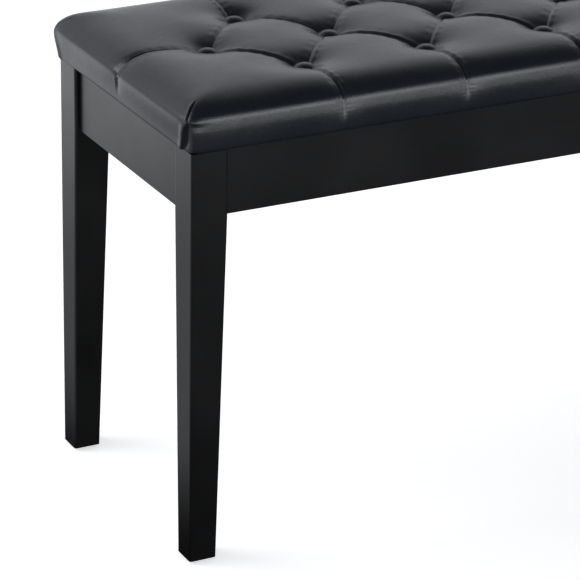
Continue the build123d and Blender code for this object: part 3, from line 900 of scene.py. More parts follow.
@dataclass(frozen=True)
class CornerFold:
    """The fold at a corner, where the end leather lies over the front or rear leather.

    On the top it is a slit with a lip beside it, which runs in from the corner. Below the knee, on the
    boxing, the front leather is tucked in behind the rolled edge of the end leather.
    """

    reach: Corner = (60 * MM, 70 * MM)
    overhang: float = 9 * MM
    start: Corner = (2 * MM, 8 * MM)
    slit_way: Corner = (0.662, 0.75)
    slit_shift: float = 1 * MM
    slit_end: Corner = (15 * MM, 24 * MM)
    slit_depth: float = 1.8 * MM
    slit_width: float = 0.75 * MM
    lip_height: float = 0.6 * MM
    lip_place: float = 2.2 * MM
    lip_width: float = 2.0 * MM
    knee_drop: float = 2 * MM
    knee_blend: Corner = (-1 * MM, 5 * MM)
    edge_place: float = 8.5 * MM
    edge_lean: float = 0.36
    edge_blend: Corner = (-0.6 * MM, 0.9 * MM)
    tuck_depth: float = 2.2 * MM
    tuck_more: float = 1.4 * MM
    tuck_rise: float = 12 * MM
    tuck_width: float = 12 * MM
    tuck_power: float = 1.6
    roll_height: float = 1.3 * MM
    roll_place: float = 2 * MM
    roll_width: float = 5 * MM
    least_level: float = 0.3

    def push(self, u: Points, v: Points, z: Points, knee: float, bottom: float) -> tuple[Points, Points]:
        """Gives how far the leather of one corner moves.

        Args:
            u: The distance from the seat's end.
            v: The distance from its front or rear.
            z: The height.
            knee: The height where the slit becomes the tucked edge.
            bottom: The height of the boxing's lower edge.

        Returns:
            The move along the normal and the level move of each point.
        """
        above = smoothstep(knee + self.knee_blend[0], knee + self.knee_blend[1], z)
        start_u, start_v = self.start
        slit = self.slit_way[0] * (u - self.slit_shift) - self.slit_way[1] * (v - start_v)
        run = np.hypot(np.maximum(u - start_u, 0), np.maximum(v - start_v, 0))
        pressed = self.lip_height * bell(slit + self.lip_place, self.lip_width)
        pressed -= self.slit_depth * bell(slit, self.slit_width)
        gap = self.edge_place + np.maximum(knee - z, 0) * self.edge_lean - v + np.maximum(u - start_u, 0)
        behind = smoothstep(*self.edge_blend, gap)
        depth = self.tuck_depth + self.tuck_more * smoothstep(bottom, bottom + self.tuck_rise, z)
        tucked = -depth * behind * np.exp(-((np.maximum(gap, 0) / self.tuck_width) ** self.tuck_power))
        rolled = self.roll_height * (1 - behind) * bell(np.minimum(gap, 0) + self.roll_place, self.roll_width)
        return pressed * (1 - smoothstep(*self.slit_end, run)) * above, (tucked + rolled) * (1 - above)


@dataclass
class SeatCushion:
    """The leather seat: tufted top, boxing and the edge turned in under the board."""

    plan: Tufting
    leather: Material
    bottom: float
    crown: float
    steps: int = 18
    slope_in: float = 40 * MM
    slope_down: float = 21 * MM
    slope_steps: int = 12
    corner_power: float = 6.0
    end_bulge: float = 3.0 * MM
    front_bulge: float = 2.0 * MM
    seam_pull: float = 1.8 * MM
    bottom_round: float = 1.0 * MM
    fold_depth: float = 2.8 * MM
    fold_width: float = 10 * MM
    edge_fold_depth: float = 1.7 * MM
    well_floor: float = 10 * MM
    well_width: float = 15 * MM
    boxing_rows: int = 10
    turn_in: float = 25 * MM
    turn_in_rows: int = 5
    folds_end: float = 30 * MM
    well_power: float = 1.15
    end_swell_start: float = 0.9
    end_swell_end: float = 0.85
    front_swell_middle: float = 0.55
    pull_reach: float = 11 * MM
    pull_down: float = 0.8
    pull_run: Corner = (0.1, 0.9)
    pull_end: float = 0.8
    at_edge: float = 0.999
    pinned_rim: float = 0.12
    pinned_button: float = 9 * MM
    pressure: float = 4.0
    stretch: float = 14.0
    shear: float = 7.0
    bending: float = 6.0
    weight: float = 0.35
    quality: int = 5
    most_swell: float = 3.0 * MM
    frames: int = 20
    evening: int = 6
    shoulder_band: float = 6 * MM
    shoulder_passes: int = 8
    edge_crease: float = 1.1
    boxing_crease: float = 0.75
    boxing_crease_end: Corner = (0.15, 0.8)
    corner_faces: tuple[Corner, ...] = ((34 * MM, 44 * MM), (26 * MM, 34 * MM))
    crease: Crease = Crease()
    corner: CornerFold = CornerFold()
    obj: Piece | None = None

    @property
    def half(self) -> Points:
        """Half the seat's length and depth."""
        return np.array([self.plan.half_x, self.plan.half_y])

    @property
    def shoulder(self) -> float:
        """The height where the boxing ends and the top's slope starts."""
        return self.crown - self.slope_down

    @property
    def boxing(self) -> float:
        """The height of the boxing."""
        return self.shoulder - self.bottom

    def lattice(self, half: float, inner: float, pitch: float) -> Points:
        """Spaces the grid lines so that every fold lies on one and the slope has close lines.

        Args:
            half: Half the seat's size that way.
            inner: Where the outermost button lies.
            pitch: The distance between two lines inside it.

        Returns:
            The places of the lines, from -half to half.
        """
        count = round(inner / pitch)
        inside = np.arange(-count, count + 1) * inner / count
        level = half - self.slope_in
        middle = np.linspace(inner, level, max(2, round((level - inner) / pitch)) + 1)[1:]
        turn = np.linspace(0, math.pi / 2, self.slope_steps + 1)[1:]
        outside = np.concatenate([middle, level + self.slope_in * np.sin(turn)])
        return np.concatenate([-outside[::-1], inside, outside])

    def add_grid(self) -> None:
        """Adds the flat top as a grid whose lines follow the folds, with rows for boxing and turn-in."""
        middle = self.plan.rows[Row.MIDDLE][-1][0]
        xs = self.lattice(self.plan.half_x, middle, self.plan.half_pitch / self.steps)
        ys = self.lattice(self.plan.half_y, self.plan.row_pitch, self.plan.row_pitch / self.steps)
        deselect_all()
        bpy.ops.mesh.primitive_grid_add(x_subdivisions=len(xs) - 1, y_subdivisions=len(ys) - 1, size=2.0)
        self.obj = bpy.context.active_object
        self.obj.name = self.obj.data.name = "seat_cushion"
        points = coords(self.obj)
        columns = np.rint((points[:, 0] + 1) / 2 * (len(xs) - 1)).astype(int)
        lines = np.rint((points[:, 1] + 1) / 2 * (len(ys) - 1)).astype(int)
        points[:, 0], points[:, 1] = xs[columns], ys[lines]
        set_coords(self.obj, points)
        self.extrude_edge(self.boxing_rows, self.boxing / self.boxing_rows, 0.0)
        self.extrude_edge(self.turn_in_rows, 0.0, self.turn_in / self.turn_in_rows)

    def extrude_edge(self, rows: int, down: float, inward: float) -> None:
        """Extrudes the open edge, row by row.

        Args:
            rows: How many rows to add.
            down: How far each goes down.
            inward: How far each goes in towards the middle.
        """
        bpy.ops.object.mode_set(mode="EDIT")
        for _ in range(rows):
            bpy.ops.mesh.select_mode(type="EDGE")
            bpy.ops.mesh.select_all(action="DESELECT")
            bpy.ops.mesh.select_non_manifold(extend=False, use_boundary=True)
            bpy.ops.mesh.extrude_region_move(TRANSFORM_OT_translate={"value": (0, 0, -down)})
            if inward:
                bpy.ops.object.mode_set(mode="OBJECT")
                points = coords(self.obj)
                chosen = np.array([v.select for v in self.obj.data.vertices])
                extent = np.abs(points[chosen]).max(axis=0)
                points[chosen, :2] *= (extent[:2] - inward) / extent[:2]
                set_coords(self.obj, points)
                bpy.ops.object.mode_set(mode="EDIT")
        bpy.ops.object.mode_set(mode="OBJECT")

    def fold_fall(self, plan: Points) -> Points:
        """Gives how far the top falls towards its folds and buttons.

        Args:
            plan: Plan places, of shape (n, 2).

        Returns:
            The fall at each place, in metres.
        """
        fall = np.zeros(len(plan))
        for folds, depth in (
            (self.plan.diagonals(), self.fold_depth),
            (self.plan.edge_folds(), self.edge_fold_depth),
        ):
            for start, end in folds:
                gap, _ = segment_distance(plan, start, end)
                fall = np.maximum(fall, depth * np.exp(-np.abs(gap) / self.fold_width))
        well = self.crown - self.plan.button_z - self.fold_depth
        deepest = np.zeros(len(plan))
        for x, y in self.plan.buttons:
            reach = np.maximum(np.hypot(plan[:, 0] - x, plan[:, 1] - y) - self.well_floor, 0)
            deepest = np.maximum(deepest, well * np.exp(-((reach / self.well_width) ** self.well_power)))
        return fall + deepest

    def shape(self) -> None:
        """Rounds the seat's edges, crowns and tufts its top and swells its boxing."""
        flat = coords(self.obj)
        attribute(self.obj, "flat", flat)
        shaped = flat.copy()
        core = self.half - self.slope_in
        place = np.clip(flat[:, :2], -core, core)
        out = flat[:, :2] - place
        square = np.abs(out).max(axis=1)
        round_norm = (np.abs(out / self.slope_in) ** self.corner_power).sum(axis=1)
        round_norm = round_norm ** (1 / self.corner_power) * self.slope_in
        shaped[:, :2] = place + out * (square / np.maximum(round_norm, 1e-9))[:, None]
        share = np.clip(square / self.slope_in, 0, 1)
        slope = self.slope_down * (1 - np.sqrt(1 - share**2))
        on_top = flat[:, 2] > -TINY
        level = smoothstep(0.0, self.folds_end, (self.half - np.abs(flat[:, :2])).min(axis=1))
        top_z = self.crown - slope - self.fold_fall(flat[:, :2]) * level
        shaped[:, 2] = np.where(on_top, top_z, self.shoulder + flat[:, 2])
        shaped[:, 2] = np.maximum(shaped[:, 2], self.bottom)
        depth = (self.shoulder - shaped[:, 2]) / self.boxing
        way = out / np.maximum(np.linalg.norm(out, axis=1), 1e-9)[:, None]
        below = 1 - smoothstep(0.0, self.end_swell_end, depth)
        end_swell = np.where(on_top, smoothstep(self.end_swell_start, 1.0, share), below)
        middle = self.front_swell_middle
        front_swell = np.where(on_top, 0, np.clip(1 - ((depth - middle) / middle) ** 2, 0, 1))
        shaped[:, 0] += way[:, 0] * self.end_bulge * end_swell
        shaped[:, 1] += way[:, 1] * self.front_bulge * front_swell
        pull = self.shoulder_pull(flat, depth, on_top)
        shaped[:, :2] -= way * (pull * self.seam_pull)[:, None]
        shaped[:, 2] -= np.where(on_top, pull * self.seam_pull * self.pull_down, 0)
        lowest = flat[:, 2] < -self.boxing * (1 - 0.5 / self.boxing_rows)
        outer = lowest & (square > self.slope_in - TINY)
        shaped[outer, :2] -= (way * self.bottom_round)[outer]
        set_coords(self.obj, shaped)

    def shoulder_pull(self, flat: Points, depth: Points, on_top: Points) -> Points:
        """Gives how hard each edge fold pulls the shoulder in.

        Args:
            flat: The flat places.
            depth: How far down the boxing each point lies, from 0 to 1.
            on_top: Which points belong to the top.

        Returns:
            The pull, from 0 to 1.
        """
        pull = np.zeros(len(flat))
        core = self.half - self.slope_in
        for _, end in self.plan.edge_folds():
            axis = 0 if abs(end[1]) > self.plan.half_y - TINY else 1
            side = np.sign(flat[:, 1 - axis]) == np.sign(end[1 - axis])
            reach = (np.abs(flat[:, 1 - axis]) - core[1 - axis]) / self.slope_in
            below = (1 - smoothstep(0.0, self.pull_end, depth)) * (reach > self.at_edge)
            weight = np.where(on_top, smoothstep(*self.pull_run, reach), below)
            near = np.exp(-np.abs(flat[:, axis] - end[axis]) / self.pull_reach)
            pull = np.maximum(pull, near * weight * side)
        return pull

    def pins(self) -> bpy.types.VertexGroup:
        """Pins the buttons, the folds, the shoulder, the boxing and the turned-in edge.

        Returns:
            The group of pinned points.
        """
        flat = attribute(self.obj, "flat")
        top = flat[:, 2] > -TINY
        held = ~top | ((self.half - np.abs(flat[:, :2])).min(axis=1) < self.slope_in * self.pinned_rim)
        for x, y in self.plan.buttons:
            held |= top & (np.hypot(flat[:, 0] - x, flat[:, 1] - y) < self.pinned_button)
        for start, end in self.plan.diagonals() + self.plan.edge_folds():
            gap, _ = segment_distance(flat[:, :2], start, end)
            held |= (np.abs(gap) < ON_LINE) & top
        group = self.obj.vertex_groups.new(name="pins")
        group.add(np.flatnonzero(held).tolist(), 1.0, "REPLACE")
        return group

    def inflate(self) -> None:
        """Blows the leather up between its folds as cloth and caps how far it moves."""
        before = coords(self.obj)
        group = self.pins()
        activate(self.obj)
        cloth = self.obj.modifiers.new("Cloth", "CLOTH")
        settings = cloth.settings
        settings.quality = self.quality
        settings.mass = self.weight
        settings.tension_stiffness = settings.compression_stiffness = self.stretch
        settings.shear_stiffness = self.shear
        settings.bending_stiffness = self.bending
        settings.use_pressure = True
        settings.uniform_pressure_force = self.pressure
        settings.effector_weights.gravity = 0
        settings.vertex_group_mass = group.name
        cloth.point_cache.frame_start, cloth.point_cache.frame_end = 1, self.frames
        for frame in range(1, self.frames + 1):
            bpy.context.scene.frame_set(frame)
        bpy.ops.object.modifier_apply(modifier=cloth.name)
        bpy.context.scene.frame_set(1)
        move = self.evened(coords(self.obj) - before)
        length = np.linalg.norm(move, axis=1)
        LOG.info("cushion swells by up to %.1f mm", length.max() / MM)
        keep = self.most_swell * np.tanh(length / self.most_swell) / np.maximum(length, 1e-9)
        set_coords(self.obj, before + move * keep[:, None])
        self.obj.vertex_groups.clear()

    def evened(self, move: Points) -> Points:
        """Evens the swelling out between neighbouring points, so that the leather stays smooth.

        Args:
            move: How far each point moves.

        Returns:
            The evened moves.
        """
        mesh = self.obj.data
        ends = np.empty(len(mesh.edges) * 2, dtype=int)
        mesh.edges.foreach_get("vertices", ends)
        first, second = ends.reshape(-1, 2).T
        degree = np.bincount(ends, minlength=len(move))[:, None]
        for _ in range(self.evening):
            total = np.zeros_like(move)
            np.add.at(total, first, move[second])
            np.add.at(total, second, move[first])
            move = 0.5 * move + 0.5 * total / degree
        return move

    def press_folds(self) -> None:
        """Presses in the folds, with one lip lying over the other and small puckers along them."""
        flat = attribute(self.obj, "flat")
        points, out = coords(self.obj), normals(self.obj)
        top = flat[:, 2] > -10 * TINY
        depth = -flat[:, 2] / self.boxing
        push = np.zeros(len(points))
        for start, end in self.plan.diagonals():
            gap, along = segment_distance(flat[:, :2], start, end)
            push += self.crease.push(gap, along, np.where(top, 1.0, 0.0))
        for start, end in self.plan.edge_folds():
            axis = 0 if start[0] == end[0] else 1
            gap, along = segment_distance(flat[:, :2], start, end)
            push += self.crease.push(gap, along, np.where(top, self.edge_crease, 0.0))
            side = (np.sign(flat[:, 1 - axis]) == np.sign(end[1 - axis])) & ~top
            side &= np.abs(flat[:, 1 - axis]) > self.half[1 - axis] - 100 * TINY
            fade = np.where(side, self.edge_crease * (1 - smoothstep(*self.boxing_crease_end, depth)), 0.0)
            push += self.crease.push(flat[:, axis] - end[axis], depth, self.boxing_crease * fade)
        set_coords(self.obj, points + out * push[:, None])

    def soften_shoulder(self) -> None:
        """Rounds the line where the top's slope runs into the boxing."""
        height = coords(self.obj)[:, 2] - self.shoulder
        with editing(self.obj):
            choose(self.obj, "VERT", lambda i: bool(abs(height[i]) < self.shoulder_band))
            bpy.ops.mesh.vertices_smooth(factor=0.5, repeat=self.shoulder_passes)

    def edge_the_folds(self) -> None:
        """Splits the faces that a slanting fold crosses, so that it lies on their edges."""
        flat = attribute(self.obj, "flat")
        on_fold = np.zeros(len(flat), dtype=bool)
        for start, end in self.plan.diagonals():
            gap, _ = segment_distance(flat[:, :2], start, end)
            on_fold |= (np.abs(gap) < ON_LINE / 4) & (flat[:, 2] > -TINY)
        with editing(self.obj):
            choose(self.obj, "VERT", lambda i: bool(on_fold[i]))
            bpy.ops.mesh.vert_connect()

    def refine_corners(self, reach: Corner) -> None:
        """Divides the faces round each corner finely enough for the corner fold.

        Args:
            reach: How far the finer faces reach from the corner, along the front and along the end.
        """
        points = coords(self.obj)
        near = (self.half - np.abs(points[:, :2]) < np.array(reach)).all(axis=1)
        near &= points[:, 2] > self.bottom - 10 * TINY
        ends = [polygon.vertices[:] for polygon in self.obj.data.polygons]
        with editing(self.obj):
            choose(self.obj, "FACE", lambda i: all(near[v] for v in ends[i]))
            bpy.ops.mesh.subdivide(number_cuts=1, smoothness=0.0)

    def fold_corners(self) -> None:
        """Folds the end leather over the front and rear leather at each corner."""
        points, out = coords(self.obj), normals(self.obj)
        z = points[:, 2].copy()
        level = out * np.array([1.0, 1.0, 0.0])
        level /= np.maximum(np.linalg.norm(level, axis=1), self.corner.least_level)[:, None]
        knee = self.shoulder - self.corner.knee_drop
        for sx in (-1, 1):
            for sy in (-1, 1):
                u = self.plan.half_x - sx * points[:, 0]
                v = self.plan.half_y - sy * points[:, 1]
                near = (u < self.corner.reach[0]) & (v < self.corner.reach[1])
                near &= (u > -self.corner.overhang) & (v > -self.corner.overhang)
                straight, sideways = self.corner.push(u, v, z, knee, self.bottom)
                push = out * straight[:, None] + level * sideways[:, None]
                points = points + np.where(near[:, None], push, 0)
        set_coords(self.obj, points)

    def build(self) -> Piece:
        """Makes the cushion.

        Returns:
            The cushion, dressed.
        """
        self.add_grid()
        self.shape()
        self.inflate()
        apply_modifier(self.obj, "SUBSURF", levels=1, render_levels=1)
        self.soften_shoulder()
        self.press_folds()
        self.edge_the_folds()
        for reach in self.corner_faces:
            self.refine_corners(reach)
        self.fold_corners()
        activate(self.obj)
        bpy.ops.object.shade_smooth()
        dress(self.obj, self.leather)
        return self.obj


# ---- buttons -------------------------------------------------------------------------------------
@dataclass
class Buttons:
    """The covered buttons, a piece for each row."""

    plan: Tufting
    leather: Material
    radius: float = 11.6 * MM
    height: float = 6.0 * MM
    sink: float = 0.4 * MM
    back_inset: float = 2.4 * MM
    back_edge: float = 0.35 * MM
    rim_inset: float = 0.9 * MM
    rim_round: float = 0.4 * MM
    rim_foot: float = 1.0 * MM
    rim_rise: float = 1.26 * MM
    rim_steps: int = 6
    dome_foot: float = 2.4 * MM
    dome_power: float = 2.4
    dome_steps: int = 9
    pleats: int = 11
    pleat_height: float = 0.12 * MM
    pleat_foot: float = 0.2 * MM
    turn_step: float = 0.9
    turn_by_row: float = 7.0
    facets: int = 40

    def dome(self) -> Piece:
        """Spins one button with a rolled rim and a shallow dome, pleated round its rim.

        Returns:
            One button, standing on Z 0.
        """
        inner, outer = self.radius - self.rim_inset, self.radius - self.rim_round
        profile = [(0.0, 0.0), (self.radius - self.back_inset, 0.0), (inner, self.back_edge)]
        for k in range(self.rim_steps + 1):
            turn = math.pi * (k / self.rim_steps) * 0.5
            z = self.rim_foot + self.rim_rise * math.sin(turn)
            profile.append((outer + self.rim_round * math.cos(turn), z))
        for k in range(1, self.dome_steps + 1):
            share = 1 - k / self.dome_steps
            fall = (self.height - self.dome_foot) * share**self.dome_power
            profile.append((inner * share, self.height - fall))
        model = lathe("button", profile, self.facets)
        points = coords(model)
        turn = np.arctan2(points[:, 1], points[:, 0])
        reach = np.hypot(points[:, 0], points[:, 1]) / self.radius
        pleat = np.sin(turn * self.pleats + 1.3) * smoothstep(0.7, 1.0, reach)
        points[:, 2] += self.pleat_height * pleat * (points[:, 2] > self.pleat_foot)
        set_coords(model, points)
        return model

    def build(self) -> dict[Row, Piece]:
        """Makes the rows.

        Returns:
            The piece for each row.
        """
        made = {}
        for row, places in self.plan.rows.items():
            spots = []
            for k, (x, y) in enumerate(places):
                turn = Matrix.Rotation(self.turn_step * k + y * self.turn_by_row, 4, "Z")
                spots.append(Matrix.Translation((x, y, self.plan.button_z - self.sink)) @ turn)
            obj = joined_copies(f"buttons_{row.name.lower()}", self.dome(), spots)
            activate(obj)
            bpy.ops.object.shade_smooth()
            dress(obj, self.leather)
            made[row] = obj
        return made


# ---- underside of the lid ------------------------------------------------------------------------
@dataclass
class LidUnderside:
    """The cloth that closes the lid from below and the staples that hold its hem."""

    cloth: Material
    wire: Material
    columns: int = 142
    rows: int = 58
    hem: float = 9 * MM
    hem_step: float = 0.22 * MM
    hem_blend: float = 1 * MM
    thickness: float = 0.3 * MM
    sag: float = 1.3 * MM
    sag_power: float = 0.7
    ripple: float = 0.18 * MM
    ripple_turns: Corner = (63.0, 41.0)
    cross_turns: Corner = (27.0, 88.0)
    cross_share: float = 0.6
    ripple_run: Corner = (10 * MM, 40 * MM)
    scallop: float = 0.25 * MM
    scallop_run: float = 14 * MM
    edge_gap: float = 0.4 * MM
    board_gap: float = 0.25 * MM
    staple_pitch: float = 37 * MM
    staple_size: Place = (9.5 * MM, 1.1 * MM, 0.5 * MM)
    staple_inset: float = 4.5 * MM
    staple_hold: float = 10 * MM
    staple_bevel: float = 0.18 * MM
    staple_bend: float = 0.35 * MM
    staple_lift: float = 0.05 * MM
    metal_reach: float = 8 * MM

    def staple_spots(self) -> list[tuple[float, float, bool]]:
        """Lists the staples' places along the hem.

        Returns:
            X, Y and whether the staple lies along X.
        """
        low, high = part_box("dust_cover")
        spots = []
        for along_x in (True, False):
            span = high.x - low.x if along_x else high.y - low.y
            count = round(span / self.staple_pitch)
            for k in range(count):
                place = (k + 0.5) * span / count - span / 2
                for side in (-1, 1):
                    edge = side * ((high.y if along_x else high.x) - self.staple_inset)
                    spots.append((place, edge, True) if along_x else (edge, place, False))
        return [spot for spot in spots if not self.under_metal(spot)]

    def under_metal(self, spot: tuple[float, float, bool]) -> bool:
        """Says whether a staple would lie under a hinge leaf or a stay's bracket."""
        reach = self.metal_reach
        for side in ("left", "right"):
            for part in ("hinge_lid_leaf", "stay_lid_bracket"):
                low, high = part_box(f"{side}_{part}")
                if low.x - reach < spot[0] < high.x + reach and low.y - reach < spot[1] < high.y + reach:
                    return True
        return False

    def hang_cloth(self) -> Piece:
        """Makes the cloth: hemmed, held at its staples and a little slack in the middle.

        Returns:
            The cloth.
        """
        low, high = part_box("dust_cover")
        half = Vector(((high.x - low.x) / 2, (high.y - low.y) / 2)) - Vector((self.edge_gap, self.edge_gap))
        deselect_all()
        bpy.ops.mesh.primitive_grid_add(x_subdivisions=self.columns, y_subdivisions=self.rows, size=2.0)
        obj = bpy.context.active_object
        obj.name = obj.data.name = "lid_dust_cloth"
        points = coords(obj) * np.array([half.x, half.y, 0])
        inset = np.minimum(half.x - np.abs(points[:, 0]), half.y - np.abs(points[:, 1]))
        middle = (1 - (points[:, 0] / half.x) ** 2) * (1 - (points[:, 1] / half.y) ** 2)
        slack = self.sag * np.clip(middle, 0, 1) ** self.sag_power
        x_turns, y_turns = self.ripple_turns
        wave = np.sin(points[:, 0] * x_turns + 1.1) * np.sin(points[:, 1] * y_turns + 0.4)
        x_turns, y_turns = self.cross_turns
        wave += self.cross_share * np.sin(points[:, 0] * x_turns - points[:, 1] * y_turns)
        slack += self.ripple * wave * smoothstep(*self.ripple_run, inset)
        hold = np.full(len(points), 1.0)
        for x, y, _ in self.staple_spots():
            reach = np.hypot(points[:, 0] - x, points[:, 1] - y)
            hold = np.minimum(hold, 1 - bell(reach, self.staple_hold))
        slack += self.scallop * hold * np.exp(-inset / self.scallop_run)
        slack += self.hem_step * (1 - smoothstep(self.hem - self.hem_blend, self.hem + self.hem_blend, inset))
        points[:, 2] = low.z + self.thickness + self.board_gap - np.maximum(slack, 0)
        set_coords(obj, points)
        apply_modifier(obj, "SOLIDIFY", thickness=self.thickness, offset=-1.0)
        activate(obj)
        bpy.ops.object.shade_smooth_by_angle(angle=math.radians(50))
        dress(obj, self.cloth)
        return obj

    def bend_staple(self) -> Piece:
        """Makes one staple's crown with its two shoulders turned down.

        Returns:
            The staple, lying along X with its face on Z 0.
        """
        deselect_all()
        bpy.ops.mesh.primitive_cube_add(size=1.0)
        obj = bpy.context.active_object
        points = coords(obj) * np.array(self.staple_size)
        points[:, 2] -= self.staple_size[2] / 2
        set_coords(obj, points)
        with editing(obj):
            bpy.ops.mesh.select_all(action="SELECT")
            bpy.ops.mesh.bevel(offset=self.staple_bevel, segments=1, affect="EDGES")
        points = coords(obj)
        shoulder = smoothstep(self.staple_size[0] * 0.4, self.staple_size[0] * 0.5, np.abs(points[:, 0]))
        points[:, 2] += self.staple_bend * shoulder
        set_coords(obj, points)
        return obj

    def drive_staples(self) -> Piece:
        """Drives the staples along the hem, none quite straight.

        Returns:
            The staples.
        """
        low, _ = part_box("dust_cover")
        turns = np.random.default_rng(7).normal(0, 0.09, 200)
        places = []
        for (x, y, along_x), turn in zip(self.staple_spots(), turns):
            angle = turn + (0 if along_x else math.pi / 2)
            spot = Matrix.Translation((x, y, low.z + self.staple_lift))
            places.append(spot @ Matrix.Rotation(angle, 4, "Z"))
        obj = joined_copies("lid_staples", self.bend_staple(), places)
        dress(obj, self.wire)
        return obj


# ---- screws --------------------------------------------------------------------------------------
@dataclass
class CrossHeadScrews:
    """Countersunk screws with a cross recess, in place of the frame's plain ones."""

    steel: Material
    head_radius: float = 3.6 * MM
    shank_radius: float = 1.9 * MM
    recess_reach: float = 2.1 * MM
    recess_width: float = 0.8 * MM
    recess_depth: float = 1.1 * MM
    recess_taper: float = 0.45
    head_rim: float = 0.25 * MM
    threads: int = 5
    thread_root: float = 0.82
    thread_rise: float = 0.5 * MM
    turn_step: float = 0.8
    first_turn: float = 0.3
    facets: int = 24

    def screw(self, length: float) -> Piece:
        """Turns one screw and cuts its recess.

        Args:
            length: From the face of the head to the tip.

        Returns:
            The screw, its head's face on Z 0 and its tip below.
        """
        cone = self.head_radius - self.shank_radius
        shank, head, rim = self.shank_radius, self.head_radius, self.head_rim
        profile = [(0.0, -length), (shank / 4, -length), (shank, cone - length)]
        for k in range(self.threads):
            z = cone - length + (length - 2.4 * cone) * (k + 0.5) / self.threads
            profile += [(shank * self.thread_root, z), (shank, z + self.thread_rise)]
        profile += [(shank, -cone), (head, -rim), (head - rim, 0.0), (0.0, 0.0)]
        model = lathe("screw", profile, self.facets)
        for turn in (0, math.pi / 2):
            deselect_all()
            bpy.ops.mesh.primitive_cube_add(size=1.0)
            cutter = bpy.context.active_object
            size = np.array([self.recess_reach * 2, self.recess_width, self.recess_depth * 2])
            points = coords(cutter) * size
            points[:, 0] *= np.where(points[:, 2] < 0, self.recess_taper, 1.0)
            set_coords(cutter, points)
            cutter.data.transform(Matrix.Rotation(turn, 4, "Z"))
            apply_modifier(model, "BOOLEAN", operation="DIFFERENCE", object=cutter, solver="EXACT")
            bpy.data.objects.remove(cutter, do_unlink=True)
        activate(model)
        bpy.ops.object.shade_smooth_by_angle(angle=math.radians(35))
        return model

    def places(self, node: Piece) -> list[tuple[Vector, Vector]]:
        """Finds each screw of a node by parting a merged copy of its mesh.

        Args:
            node: The frame's screws.

        Returns:
            The lowest and highest corner of each screw.
        """
        copy = bpy.data.objects.new("screw_copy", node.data.copy())
        bpy.context.collection.objects.link(copy)
        with editing(copy):
            bpy.ops.mesh.select_all(action="SELECT")
            bpy.ops.mesh.remove_doubles(threshold=TINY)
            bpy.ops.mesh.separate(type="LOOSE")
        boxes = []
        for part in list(bpy.context.selected_objects):
            points = coords(part)
            boxes.append((Vector(points.min(axis=0)), Vector(points.max(axis=0))))
            bpy.data.objects.remove(part, do_unlink=True)
        return sorted(boxes, key=lambda box: tuple(round(value, 4) for value in box[0]))

    def build(self, name: str, node: Piece, axis: Axis, way: Callable[[Vector], int]) -> Piece:
        """Makes the screws of one node.

        Args:
            name: The piece's name.
            node: The frame's screws.
            axis: The way they point.
            way: Gives 1 or -1 for the side of a screw that its head is on.

        Returns:
            The screws.
        """
        spots, length = [], 0.0
        for k, (low, high) in enumerate(self.places(node)):
            middle = (low + high) / 2
            side = way(middle)
            length = high[axis.value] - low[axis.value]
            middle[axis.value] = high[axis.value] if side > 0 else low[axis.value]
            outward = Vector((0, 0, 0))
            outward[axis.value] = side
            turn = outward.to_track_quat("Z", "Y").to_matrix().to_4x4()
            turn = turn @ Matrix.Rotation(self.turn_step * k + self.first_turn, 4, "Z")
            spots.append(Matrix.Translation(middle) @ turn)
        obj = joined_copies(name, self.screw(length), spots)
        dress(obj, self.steel)
        return obj


